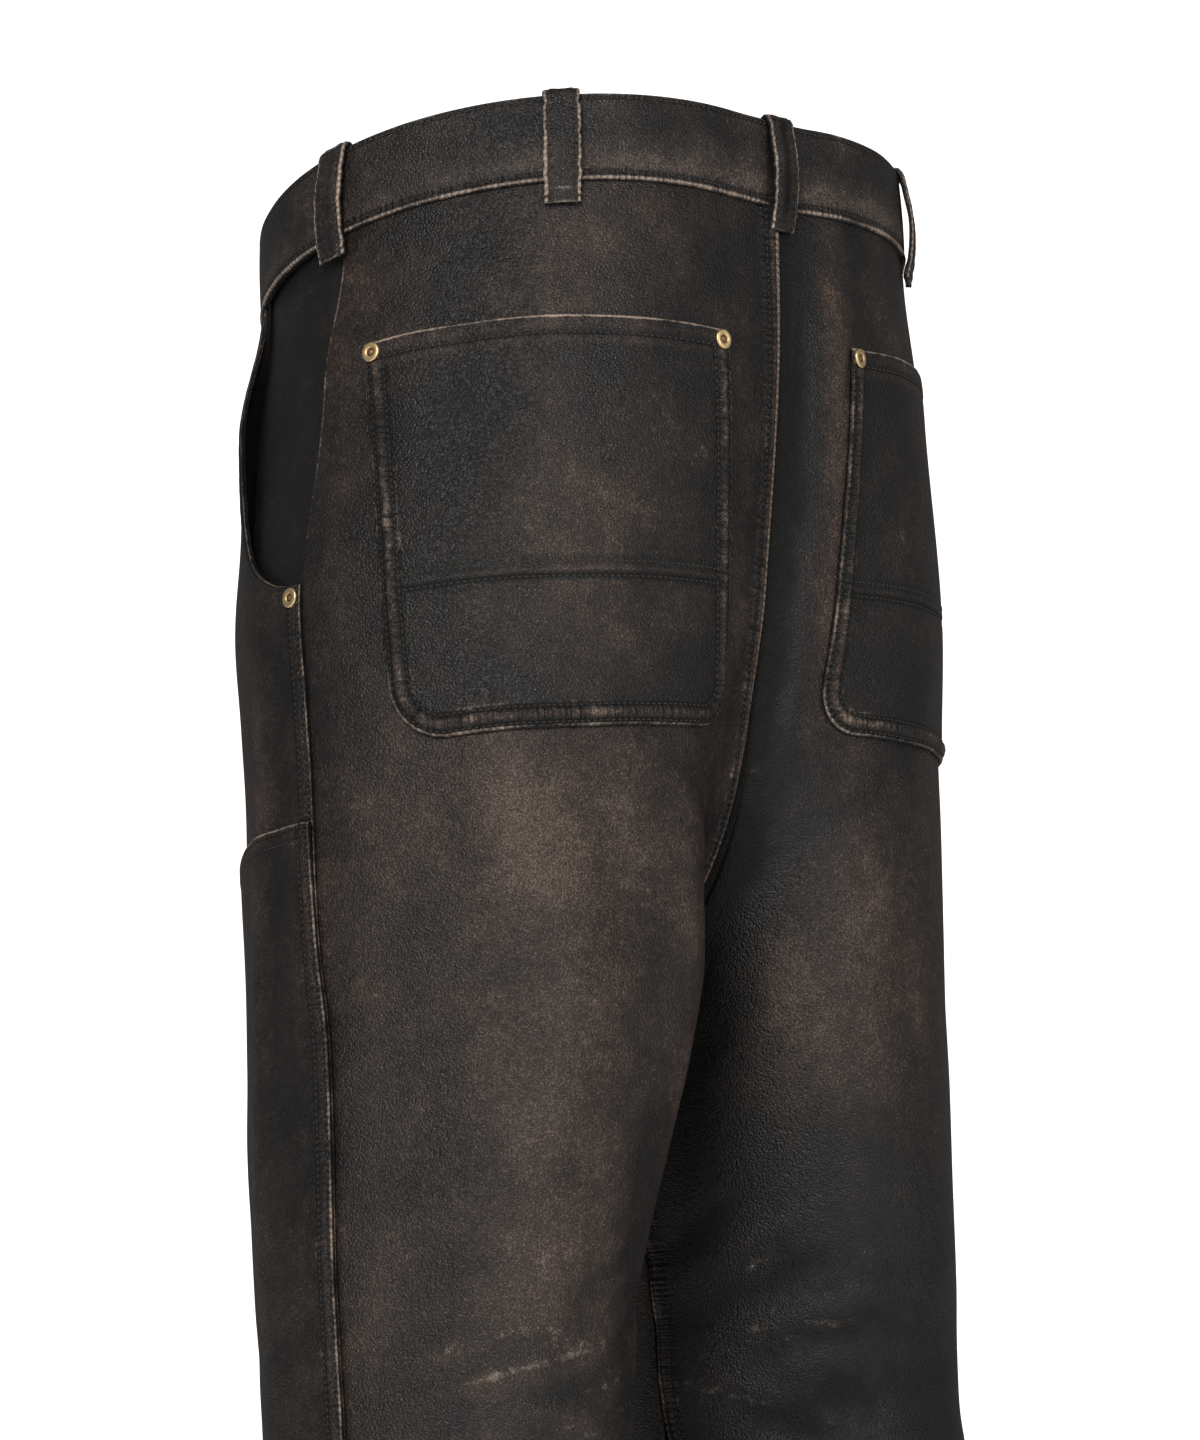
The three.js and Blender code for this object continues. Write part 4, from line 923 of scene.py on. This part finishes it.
# Knee panels
# A second layer of hide over each front from mid thigh to shin, caught in the side seam and the
# inseam. Its top edge is hemmed and sewn with two rows, and falls towards the inseam.
KNEE_EDGE = 1.2
KNEE_THICK = 1.3
KNEE_ROWS = (2.0, 7.6)
KNEE_END_ROW = 2.2
for half, word in ((1, "left"), (-1, "right")):
    share = fine_edges(width=245, step=3.6)
    top = KNEE_TOP + KNEE_FALL * (1 - share) ** 2
    hem_lines = np.array([0, 0.7, 1.5, 2.4, 3.6, 5.0, 6.4, 7.6, 8.6, 10])
    body_rows = np.linspace(10, KNEE_BOTTOM - KNEE_TOP, 150)[1:]
    from_top = np.concatenate([hem_lines, body_rows])[:, None]
    drop = top + from_top * (KNEE_BOTTOM - top) / (KNEE_BOTTOM - KNEE_TOP)
    from_top = drop - top
    t = middle_seam(drop) * (1 - share) + (side_t(drop) - HALF_SEAM) * share
    off = BED + KNEE_EDGE * (1 - smooth(from_top, 0, 45))
    base = layer(half, t, drop, LEATHER + off)
    from_middle = lengths(base, 1)
    from_side = from_middle[:, -1:] - from_middle
    relief = felled(from_side, drop, SIDE_BAND, 0.6, SEAM_ROWS, 41) + trench(from_middle, 0.3)
    relief += 0.4 * (1 - smooth(from_top, 7.2, 9.4)) - 0.5 * bump(from_top, 0, 0.7)
    relief -= 0.4 * row_grooves(from_top, KNEE_ROWS, (0.8, 0.8))
    to_end = KNEE_BOTTOM - drop
    relief -= 0.4 * bump(to_end, KNEE_END_ROW, 0.9) + 0.5 * bump(to_end, 0, 0.8)
    outer = layer(half, t, drop, LEATHER + off + KNEE_THICK + relief)
    ridge = np.clip(ridges(outer), -1.5, 1.5)
    # Ridges lightened as wear and painted highlight, troughs darkened as painted shade.
    wear_and_painted_light = 0.2 * ridge + spots(half, t, drop, WEAR_AND_SHADE_SPOTS) - 0.1
    edge = 1.1 * bump(from_side, 0.6, 0.9) + 0.35 * bump(from_side, SIDE_BAND, 1.1)
    # Painted shade in the side seam and top hem stitch grooves.
    wear_and_painted_light = wear_and_painted_light - 0.9 * row_grooves(from_side, SEAM_ROWS, (0.7, 0.8))
    wear_and_painted_light = wear_and_painted_light - 0.8 * row_grooves(from_top, KNEE_ROWS, (0.7, 0.8))
    for strength, away, at in ((1.2, from_top, 0.4), (0.8, to_end, 0.2), (0.5, from_top, 9.0)):
        edge = np.maximum(edge, strength * bump(away, at, 1.0))
    edge = edge + depth_of(WORN_LINES, half, t, drop)
    pucker = 0.7 * (1 - smooth(from_side, SIDE_BAND - 2, SIDE_BAND + 2))
    wear_and_light_marks = {"edge": edge, "wear_and_painted_light": wear_and_painted_light, "pucker": pucker, "length": drop / 1000}
    panel = cloth_wall("knee_layer_" + word, base, outer, wear_and_light_marks, worn_leather)
    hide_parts("knee_panel_" + word)
    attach(panel, "root")
    normal = skin(half, t, drop)[1]
    for row in SEAM_ROWS:
        sew_across(outer, normal, from_side, row, 8)
    for row in KNEE_ROWS:
        sew_along(outer, normal, from_top, row, 1, len(share) - 1)
    sew_along(outer, normal, to_end, KNEE_END_ROW, 1, len(share) - 1)

# Waistband
# A straight strip of hide folded double, 40 mm deep, sewn to the top of the panels with a row
# along its rolled lower edge and another under its top edge. Its left end laps over its right.
BAND_THICK = 2.8
BAND_UNDER = 8.0
BAND_OVER = 3.0
BAND_ROWS = (2.2, 36.3)


def ring(degrees, drop, out):
    """A point at waistband level, 0 degrees at the centre back and +90 at the left side."""
    degrees, drop, out = np.broadcast_arrays(degrees, drop, out)
    wrapped = (degrees + 540) % 360 - 180
    half = np.where(wrapped < 0, -1, 1)
    t = 1 - np.abs(wrapped) / 180
    point = np.where((half > 0)[..., None], layer(1, t, drop, out), layer(-1, t, drop, out))
    middle = (np.abs(wrapped) < 1e-9) | (np.abs(np.abs(wrapped) - 180) < 1e-9)
    point[..., 0] = np.where(middle, 0, point[..., 0])
    return point


band_leather = leather_material(
    "band_leather",
    ground=(0.0092, 0.0089, 0.0092, 1),
    rubbed=(0.042, 0.0325, 0.0275, 1),
    speck_colour=(0.27, 0.215, 0.18, 1),
    frayed=(0.40, 0.325, 0.27, 1),
    bias=0.40,
)
degrees = np.linspace(-180 - BAND_UNDER, 180 + BAND_OVER, 361)[None, :]
drop = np.concatenate([
    [0, 0.5, 1.1, 1.8, 2.6, 3.6, 5],
    np.linspace(7, 33, 12),
    [34.6, 36, 37, 37.8, 38.5, 39.1, 39.6, BAND_HEIGHT],
])[:, None]
lap = smooth(degrees, 180 - BAND_UNDER - 16, 180 - BAND_UNDER - 3) * (BAND_THICK + SEAM + 0.3)
girth = lengths(ring(degrees, np.full_like(drop, 20.0), lap), 1)
puff = 0.5 * np.sin(math.pi * np.clip(drop / BAND_HEIGHT, 0, 1)) + 0.12 * ripple(girth * 0.25, 51)
top_row, low_row = BAND_ROWS
roll = 0.45 * bump(drop, 38.6, 1.1) - 0.5 * bump(drop, low_row, 0.8)
roll = roll - 0.7 * bump(drop, BAND_HEIGHT, 0.5)
top_edge = -0.35 * bump(drop, top_row, 0.7) - 0.7 * bump(drop, 0, 0.6)
relief = puff + roll + top_edge + 0.1 * ripple(girth, 52) * smooth(drop, 24, 36)
inner = ring(degrees, drop, lap)
outer = ring(degrees, drop, lap + BAND_THICK + relief)
at_left = np.exp(-(((degrees - 35) / 26) ** 2) - ((drop - 30) / 9) ** 2)
at_right = np.exp(-(((degrees + 30) / 24) ** 2) - ((drop - 30) / 8) ** 2)
wear_and_painted_light = 0.35 * at_left + 0.5 * at_right + 0.25 * bump(drop, 32, 4) - 0.15 * bump(drop, 12, 10)
# Painted shade in the two stitch grooves.
wear_and_painted_light = wear_and_painted_light - 0.9 * bump(drop, low_row, 0.7) - 0.8 * bump(drop, top_row, 0.7)
edge = 1.3 * bump(drop, 38.9, 0.9) + 0.7 * bump(drop, 0.4, 0.7)
pucker = 0.8 * smooth(drop, 32, 37) + 0.3 * (1 - smooth(drop, 2, 5))
wear_and_light_marks = {"edge": edge, "wear_and_painted_light": wear_and_painted_light, "pucker": pucker, "length": girth / 1000}
waistband = cloth_wall("folded_band", inner, outer, wear_and_light_marks, band_leather)
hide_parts("waistband")
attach(waistband, "root")
normal = ring(degrees, drop, 4.0) - ring(degrees, drop, 3.0)
for row in BAND_ROWS:
    sew_along(outer, normal, drop, row, 2, outer.shape[1] - 2)

# Belt loops
# Seven straps of folded hide, 16 mm wide with a row of stitches along each edge. Each is folded
# over the band's top edge and caught under its own turned end 10 mm below the band.
LOOPS = [
    ("back", 0), ("back_left", 48), ("back_right", -48), ("side_left", 90),
    ("side_right", -90), ("front_left", 143), ("front_right", -143),
]
LOOP_WIDTH, LOOP_BOTTOM, LOOP_BOW, LOOP_THICK = 16.0, 50.0, 3.0, 2.0
LOOP_ROWS = (-5.8, 5.8)
# How far out and how far down the strap's first points lie, from inside the band over its top.
OVER_TOP = np.array([
    (-1.4, 10), (-1.4, 7), (-1.4, 4), (-1.3, 1.5),
    (-0.7, -0.7), (1.1, -1.8), (3.2, -1.4), (4.4, 0.2),
])
HALF_ACROSS = np.array([0.08, 0.2, 0.3, 0.36, 0.4, 0.44, 0.475, 0.5])
loop_leather = leather_material(
    "loop_leather",
    ground=(0.0092, 0.0089, 0.0092, 1),
    rubbed=(0.040, 0.0315, 0.0270, 1),
    speck_colour=(0.28, 0.225, 0.185, 1),
    frayed=(0.42, 0.34, 0.28, 1),
    bias=0.30,
)


def beside_ring(angle, aside, drop, out):
    if angle == 0:
        t = along(1, INNER_EDGE - np.abs(aside), drop)
        point = np.where((aside < 0)[..., None], layer(-1, t, drop, out), layer(1, t, drop, out))
        point[..., 0] = np.where(np.abs(aside) < 1e-6, 0, point[..., 0])
        return point
    half = 1 if angle > 0 else -1
    t = along(1 - abs(angle) / 180, -half * aside, drop)
    return layer(half, t, drop, out)


for number, (word, angle) in enumerate(LOOPS):
    seed = np.random.default_rng(60 + number)
    shares = np.linspace(0.04, 1, 46)
    below = shares * LOOP_BOTTOM
    seat = BAND_THICK + (LEATHER - BAND_THICK) * smooth(below, BAND_HEIGHT + 1, BAND_HEIGHT + 9)
    stand = seat + BED + LOOP_THICK / 2 + 0.5 + LOOP_BOW * np.sin(math.pi * shares) ** 1.3
    path = np.concatenate([OVER_TOP, np.stack([stand, below], -1)])
    way = np.gradient(path, axis=0)
    way /= np.linalg.norm(way, axis=1, keepdims=True)
    out_way = np.stack([way[:, 1], -way[:, 0]], -1)
    aside = LOOP_WIDTH * np.concatenate([-HALF_ACROSS[::-1], HALF_ACROSS])
    at_edge = np.sign(aside) * (np.abs(aside) > 7)
    step = np.arange(len(path))[:, None]
    fray = 0.35 * ripple(step * 2.2, 70 + number)
    lean = seed.uniform(-1, 1) * np.linspace(0, 1, len(path))[:, None] ** 2
    width = 1 + 0.05 * ripple(step * 0.8, 90 + number)
    place = aside * width + lean + fray * at_edge
    from_edge = LOOP_WIDTH / 2 - np.abs(aside)
    lip = 0.6 * smooth(below, LOOP_BOTTOM - 6, LOOP_BOTTOM - 4.5)
    lip = np.concatenate([np.zeros(len(OVER_TOP)), lip])
    thick = LOOP_THICK / 2 + 0.35 * bump(from_edge, 3.5, 2) - 0.55 * bump(from_edge, 0, 0.6)
    thick = thick - 0.4 * bump(from_edge, 2.2, 0.7) + lip[:, None]
    thick = thick + 0.15 * ripple(step * 1.7, 80 + number)

    def strap(far):
        out = path[:, :1] + out_way[:, :1] * far
        low = path[:, 1:] + out_way[:, 1:] * far
        point = beside_ring(angle, place, np.maximum(low, 0), out)
        point[..., 2] -= np.minimum(low, 0)
        return point

    inner = strap(-LOOP_THICK / 2)
    outer = strap(thick)
    down = np.concatenate([np.linspace(-9, -0.5, len(OVER_TOP)), below])[:, None]
    edge = 1.4 * bump(from_edge, 0.7, 1.0)
    end = LOOP_BOTTOM
    for strength, at, wide in ((0.95, end, 1.2), (0.7, -1, 1.6), (0.6, end - 6, 0.9)):
        edge = np.maximum(edge, strength * bump(down, at, wide))
    wear_and_painted_light = 0.1 * bump(from_edge, 3.5, 2)
    pucker = 0.6 * (1 - smooth(from_edge, 3, 5))
    wear_and_light_marks = {"edge": edge, "wear_and_painted_light": wear_and_painted_light, "pucker": pucker, "length": down / 1000}
    loop = cloth_wall("strap_" + word, inner, outer, wear_and_light_marks, loop_leather)
    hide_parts("belt_loop_" + word)
    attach(loop, "root")
    normal = strap(thick + 1) - strap(thick)
    for row in LOOP_ROWS:
        sew_across(outer, normal, aside, row, len(OVER_TOP))
    sew_along(outer, normal, down, LOOP_BOTTOM - 3, 2, 14)

# Fly shield and zip
# The shield is a strip of hide behind the fly, and the zip's woven tape lies on it under the left
# front. The slider stands at the top of the zip with its tab down.


def fly_strip(left, right, bottom, out, thick):
    """The inner and outer face of a strip behind the fly."""
    drop = np.linspace(PANEL_TOP, bottom, 60)[:, None]
    across = np.linspace(right, left, 24)
    t = along(0, np.abs(across), drop)
    grids = []
    for far in (out - thick, out):
        point = layer(1, t, drop, far)
        point[..., 0] = np.sign(across) * np.abs(point[..., 0])
        grids.append(point)
    return grids


TAPE_THICK, TAPE_LEFT, TAPE_RIGHT, TAPE_ABOVE = 0.8, 15.0, -13.0, 18.0
SHIELD_LEFT, SHIELD_RIGHT, SHIELD_ABOVE = 26.0, -26.0, 6.0
under_tape = -SEAM - TAPE_THICK - SEAM
low = FLY_BOTTOM - SHIELD_ABOVE
inner, outer = fly_strip(SHIELD_LEFT, SHIELD_RIGHT, low, under_tape, LEATHER)
shield = cloth_wall("hide_fly_shield", inner, outer, {"wear_and_painted_light": -0.3}, worn_leather)
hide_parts("fly_shield")
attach(shield, "root")

tape_cloth, node, place = new_material("zip_tape_cloth")
weave = node(
    "ShaderNodeTexWave",
    {"Vector": place, "Scale": 420, "Distortion": 1.5, "Detail": 2},
    bands_direction="DIAGONAL",
).outputs["Fac"]
tint = node(
    "ShaderNodeMix",
    {0: weave, 6: (0.006, 0.006, 0.0065, 1), 7: (0.02, 0.02, 0.021, 1)},
    data_type="RGBA",
)
rise = node("ShaderNodeBump", {"Height": weave, "Strength": 0.5, "Distance": 0.0003})
inputs = {"Base Color": tint.outputs[2], "Roughness": 0.85, "Normal": rise.outputs["Normal"]}
add_surface(node, inputs)
low = FLY_BOTTOM - TAPE_ABOVE
inner, outer = fly_strip(TAPE_LEFT, TAPE_RIGHT, low, -SEAM, TAPE_THICK)
tape = cloth_wall("woven_zip_tape", inner, outer, {}, tape_cloth)
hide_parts("zip_tape")
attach(tape, "root")

# Rivets, button and slider
# Solid brass, dulled and browned in the hollows. A tubular rivet holds each top corner of the
# back pockets and the foot of each pocket mouth, and a shank button closes the waistband.
brass, node, place = new_material("aged_brass")
inputs = {"Vector": place, "Scale": 700, "Detail": 6, "Roughness": 0.7}
tarnish = node("ShaderNodeTexNoise", inputs).outputs["Fac"]
hollow = node("ShaderNodeAttribute", attribute_name="edge").outputs["Fac"]
inputs = {0: tarnish, 1: 0.9, 2: hollow}
stain = node("ShaderNodeMath", inputs, operation="MULTIPLY_ADD").outputs[0]
inputs = {"Value": stain, "From Min": 0.42, "From Max": 1.2}
stained = node("ShaderNodeMapRange", inputs).outputs["Result"]
tint = node(
    "ShaderNodeMix",
    {0: stained, 6: (0.88, 0.67, 0.39, 1), 7: (0.16, 0.08, 0.04, 1)},
    data_type="RGBA",
)
inputs = {"Value": stain, "From Min": 0.3, "To Min": 0.4, "To Max": 0.62}
rough = node("ShaderNodeMapRange", inputs).outputs["Result"]
inputs = {"Height": tarnish, "Strength": 0.25, "Distance": 0.0002}
scratch = node("ShaderNodeBump", inputs).outputs["Normal"]
inputs = {"Base Color": tint.outputs[2], "Metallic": 1.0, "Roughness": rough, "Normal": scratch}
add_surface(node, inputs)

# Profiles: radius, height above the leather, and how dark the hollow is.
RIVET_INSET = 4.6
MOUTH_BELOW, MOUTH_ASIDE = 5.0, 6.2
RIVET_PROFILE = [
    (0, 0, 0), (4.5, 0, 0), (4.55, 0.5, 0), (4.4, 0.95, 0), (4.0, 1.15, 0), (3.2, 1.2, 0),
    (2.4, 1.15, 0), (2.0, 0.95, 0.2), (1.8, 0.6, 0.7), (1.5, 0.5, 0.9), (1.2, 0.7, 0.7),
    (0.7, 0.95, 0.5), (0, 1.05, 0.5),
]
BUTTON_PROFILE = [
    (0, 0, 0.5), (3.4, 0, 0.5), (3.4, 1.6, 0.6), (7.7, 1.6, 0.2), (8.4, 2.1, 0), (8.5, 2.7, 0),
    (8.1, 3.4, 0), (7.4, 3.85, 0), (6.6, 3.9, 0), (6.1, 3.5, 0.6), (5.4, 3.35, 0.4),
    (2.5, 3.2, 0.1), (0, 3.1, 0.1),
]


def lathe(name, seats, profile, segments):
    """Turned pieces on the cloth, each from its foot and the way out of the cloth."""
    points, faces, hollows = [], [], []
    turn = np.linspace(0, 2 * math.pi, segments, endpoint=False)
    for foot, way in seats:
        way = way / np.linalg.norm(way)
        side = np.cross(way, (0, 0, 1))
        side /= np.linalg.norm(side)
        other = np.cross(way, side)
        start = len(points)
        circle = np.cos(turn)[:, None] * side + np.sin(turn)[:, None] * other
        for radius, height, dark in profile:
            centre = foot + way * height
            points += (centre + radius * circle).tolist() if radius else [centre.tolist()]
            hollows += [dark] * (segments if radius else 1)
        rings = [start + 1 + segments * k for k in range(len(profile) - 2)]
        last = len(points) - 1
        for i in range(segments):
            j = (i + 1) % segments
            faces.append((start, rings[0] + j, rings[0] + i))
            for low, high in zip(rings, rings[1:]):
                faces.append((low + i, low + j, high + j, high + i))
            faces.append((rings[-1] + i, rings[-1] + j, last))
    points = np.array(points)
    mesh = bpy.data.meshes.new(name)
    mesh.from_pydata((points / 1000).tolist(), [], faces)
    values = mesh.attributes.new("edge", "FLOAT", "POINT")
    values.data.foreach_set("value", np.array(hollows, np.float32))
    mesh.materials.append(brass)
    mesh.polygons.foreach_set("use_smooth", np.ones(len(mesh.polygons), bool))
    volume = 0
    for first, *others in faces:
        for second, third in zip(others, others[1:]):
            volume += np.dot(points[first], np.cross(points[second], points[third]))
    if volume < 0:
        mesh.flip_normals()
    thing = bpy.data.objects.new(name, mesh)
    bpy.context.scene.collection.objects.link(thing)
    return thing


seats, rivet_nodes = [], []
on_top = BED + POCKET_THICK + SEAM
for half, word in ((1, "left"), (-1, "right")):
    for corner, across in (("inner", RIVET_INSET), ("outer", POCKET_WIDTH - RIVET_INSET)):
        across, down = np.array([across]), np.array([RIVET_INSET])
        foot = on_pocket(half, across, down, on_top)[0]
        seats.append((foot, on_pocket(half, across, down, on_top + 5)[0] - foot))
        rivet_nodes.append("rivet_pocket_" + word + "_" + corner)
    low = np.array([MOUTH_BOTTOM + MOUTH_BELOW])
    t = along(side_t(low), -MOUTH_ASIDE, low)
    foot = layer(half, t, low, LEATHER + SEAM + 0.4)[0]
    seats.append((foot, layer(half, t, low, LEATHER + 6)[0] - foot))
    rivet_nodes.append("rivet_mouth_" + word)
rivets = lathe("brass_rivets", seats, RIVET_PROFILE, 32)
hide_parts(*rivet_nodes)
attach(rivets, "root")

BUTTON_ANGLE, BUTTON_GAP = 176, 0.6
button_out = 2 * BAND_THICK + 2 * SEAM + BUTTON_GAP
foot = ring(BUTTON_ANGLE, BAND_HEIGHT / 2, button_out)
seats = [(foot, ring(BUTTON_ANGLE, BAND_HEIGHT / 2, button_out + 5) - foot)]
button = lathe("brass_button", seats, BUTTON_PROFILE, 40)
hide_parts("waist_button")
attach(button, "root")

slider = bpy.data.objects["zip_slider"]
slider.data.materials.clear()
slider.data.materials.append(brass)

# Stitching
# Heavy dark thread, one lockstitch every 3 mm along all the rows collected above, each stitch
# bedded in the leather.
thread, node, place = new_material("dark_thread")
inputs = {"Vector": place, "Scale": 2600, "Detail": 3, "Roughness": 0.6}
twist = node("ShaderNodeTexNoise", inputs).outputs["Fac"]
tint = node(
    "ShaderNodeMix",
    {0: twist, 6: (0.008, 0.006, 0.005, 1), 7: (0.085, 0.066, 0.05, 1)},
    data_type="RGBA",
)
rise = node("ShaderNodeBump", {"Height": twist, "Strength": 0.6, "Distance": 0.0003})
inputs = {"Base Color": tint.outputs[2], "Roughness": 0.7, "Normal": rise.outputs["Normal"]}
add_surface(node, inputs)

points, ways, links = [], [], []
for row, way in sewn_rows:
    start = len(points)
    points += (row / 1000).tolist()
    ways += (way / np.linalg.norm(way, axis=1, keepdims=True)).tolist()
    links += [(start + i, start + i + 1) for i in range(len(row) - 1)]
mesh = bpy.data.meshes.new("stitching")
mesh.from_pydata(points, links, [])
out_way = mesh.attributes.new("out_way", "FLOAT_VECTOR", "POINT")
out_way.data.foreach_set("vector", np.array(ways, np.float32).reshape(-1))
stitching = bpy.data.objects.new("stitching", mesh)
bpy.context.scene.collection.objects.link(stitching)

tree = bpy.data.node_groups.new("lockstitches", "GeometryNodeTree")
face = tree.interface
face.new_socket("Geometry", in_out="INPUT", socket_type="NodeSocketGeometry")
thread_sizes = {"Pitch": 0.0030, "Stitch length": 0.0024, "Thread width": 0.0009}
sockets = {
    key: face.new_socket(key, in_out="INPUT", socket_type="NodeSocketFloat").identifier
    for key in thread_sizes
}
face.new_socket("Geometry", in_out="OUTPUT", socket_type="NodeSocketGeometry")
add = tree.nodes.new
group_in, group_out = add("NodeGroupInput"), add("NodeGroupOutput")
to_curve = add("GeometryNodeMeshToCurve")
resample = add("GeometryNodeResampleCurve")
resample.mode = "LENGTH"
ball = add("GeometryNodeMeshIcoSphere")
ball.inputs["Radius"].default_value = 0.5
ball.inputs["Subdivisions"].default_value = 1
shape = add("ShaderNodeCombineXYZ")
tangent = add("GeometryNodeInputTangent")
lie = add("FunctionNodeAlignRotationToVector")
lie.axis = "X"
outwards = add("GeometryNodeInputNamedAttribute")
outwards.data_type = "FLOAT_VECTOR"
outwards.inputs["Name"].default_value = "out_way"
stand = add("FunctionNodeAlignRotationToVector")
stand.axis = "Z"
stand.pivot_axis = "X"
place_all = add("GeometryNodeInstanceOnPoints")
realize = add("GeometryNodeRealizeInstances")
soft = add("GeometryNodeSetShadeSmooth")
finish = add("GeometryNodeSetMaterial")
finish.inputs["Material"].default_value = thread
for source, output, target, entry in (
    (group_in, "Geometry", to_curve, "Mesh"),
    (to_curve, "Curve", resample, "Curve"),
    (group_in, "Pitch", resample, "Length"),
    (group_in, "Stitch length", shape, "X"),
    (group_in, "Thread width", shape, "Y"),
    (group_in, "Thread width", shape, "Z"),
    (tangent, "Tangent", lie, "Vector"),
    (lie, "Rotation", stand, "Rotation"),
    (outwards, "Attribute", stand, "Vector"),
    (resample, "Curve", place_all, "Points"),
    (ball, "Mesh", place_all, "Instance"),
    (stand, "Rotation", place_all, "Rotation"),
    (shape, "Vector", place_all, "Scale"),
    (place_all, "Instances", realize, "Geometry"),
    (realize, "Geometry", soft, "Geometry"),
    (soft, "Geometry", finish, "Geometry"),
    (finish, "Geometry", group_out, "Geometry"),
):
    tree.links.new(source.outputs[output], target.inputs[entry])
maker = stitching.modifiers.new("lockstitches", "NODES")
maker.node_group = tree
for key, value in thread_sizes.items():
    maker[sockets[key]] = value
graph = bpy.context.evaluated_depsgraph_get()
sewn = bpy.data.meshes.new_from_object(stitching.evaluated_get(graph))
stitching.modifiers.remove(maker)
stitching.data = sewn
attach(stitching, "root")

# Floor, lights and camera
# A pale floor below the hems, soft studio light from above and beside the camera, and a long
# lens at hip height, behind the wearer's left.
FLOOR_RADIUS, FLOOR_HEIGHT = 2.2, -1.068
bpy.ops.mesh.primitive_circle_add(
    vertices=96, radius=FLOOR_RADIUS, fill_type="NGON", location=(0, 0, FLOOR_HEIGHT)
)
floor = bpy.context.active_object
floor.name = "floor"
paper, node, place = new_material("pale_floor")
cloudy = node("ShaderNodeTexNoise", {"Vector": place, "Scale": 3, "Detail": 3})
tint = node(
    "ShaderNodeMix",
    {0: cloudy.outputs["Fac"], 6: (0.80, 0.80, 0.80, 1), 7: (0.86, 0.86, 0.86, 1)},
    data_type="RGBA",
)
inputs = {"Base Color": tint.outputs[2], "Roughness": 0.8}
add_surface(node, inputs | {"Emission Color": (1, 1, 1, 1), "Emission Strength": 0.22})
floor.data.materials.append(paper)

world = bpy.data.worlds.new("studio")
bpy.context.scene.world = world
world.use_nodes = True
tree = world.node_tree
tree.nodes.clear()
rays = tree.nodes.new("ShaderNodeLightPath")
white, dim = tree.nodes.new("ShaderNodeBackground"), tree.nodes.new("ShaderNodeBackground")
white.inputs["Color"].default_value = (1, 1, 1, 1)
white.inputs["Strength"].default_value = 1.0
dim.inputs["Color"].default_value = (1, 1, 1, 1)
dim.inputs["Strength"].default_value = 0.16
choose, result = tree.nodes.new("ShaderNodeMixShader"), tree.nodes.new("ShaderNodeOutputWorld")
tree.links.new(rays.outputs["Is Camera Ray"], choose.inputs[0])
tree.links.new(dim.outputs[0], choose.inputs[1])
tree.links.new(white.outputs[0], choose.inputs[2])
tree.links.new(choose.outputs[0], result.inputs["Surface"])

# Name, azimuth and height in degrees, distance and size in metres, and power in watts.
LIGHTS = [
    ("key", 122, 26, 2.9, 1.2, 46.0),
    ("right_fill", 190, 12, 3.0, 1.8, 18.0),
    ("far_side", -40, 40, 3.0, 1.6, 12.0),
]
LIT = np.array((0.0, 0.0, -0.42))
LIGHT_COLOUR = (1.0, 0.972, 0.945)
for name, azimuth, height, distance, size, power in LIGHTS:
    lamp = bpy.data.lights.new(name, "AREA")
    lamp.shape = "DISK"
    lamp.size = size
    lamp.energy = power
    lamp.color = LIGHT_COLOUR
    a, e = math.radians(azimuth), math.radians(height)
    way = np.array((math.sin(a) * math.cos(e), -math.cos(a) * math.cos(e), math.sin(e)))
    light = bpy.data.objects.new(name, lamp)
    light.location = LIT + way * distance
    light.rotation_euler = Vector(-way).to_track_quat("-Z", "Y").to_euler()
    bpy.context.scene.collection.objects.link(light)

VIEW_AZIMUTH, VIEW_DISTANCE, VIEW_HEIGHT = 135.0, 3.0, -0.7
VIEW_PITCH, FOCAL_PIXELS, IMAGE_WIDTH, IMAGE_HEIGHT, AXIS_AT = 8.75, 6540.0, 1200, 1440, 579.4
SENSOR = 36
camera = bpy.data.cameras.new("camera")
camera.sensor_fit = "VERTICAL"
camera.sensor_height = SENSOR
camera.lens = SENSOR * FOCAL_PIXELS / IMAGE_HEIGHT
viewer = bpy.data.objects.new("camera", camera)
a = math.radians(VIEW_AZIMUTH)
viewer.location = (VIEW_DISTANCE * math.sin(a), -VIEW_DISTANCE * math.cos(a), VIEW_HEIGHT)
ahead = np.array((-math.sin(a), math.cos(a), 0))
aside = np.cross(ahead, (0, 0, 1))
yaw = math.atan((IMAGE_WIDTH / 2 - AXIS_AT) / FOCAL_PIXELS)
ahead = ahead * math.cos(yaw) + aside * math.sin(yaw)
pitch = math.radians(VIEW_PITCH)
ahead = ahead * math.cos(pitch) + np.array((0, 0, math.sin(pitch)))
viewer.rotation_euler = Vector(ahead).to_track_quat("-Z", "Y").to_euler()
bpy.context.scene.collection.objects.link(viewer)
bpy.context.scene.camera = viewer
film = bpy.context.scene.view_settings
film.view_transform = "Standard"
film.exposure = 0.42
film.gamma = 0.89
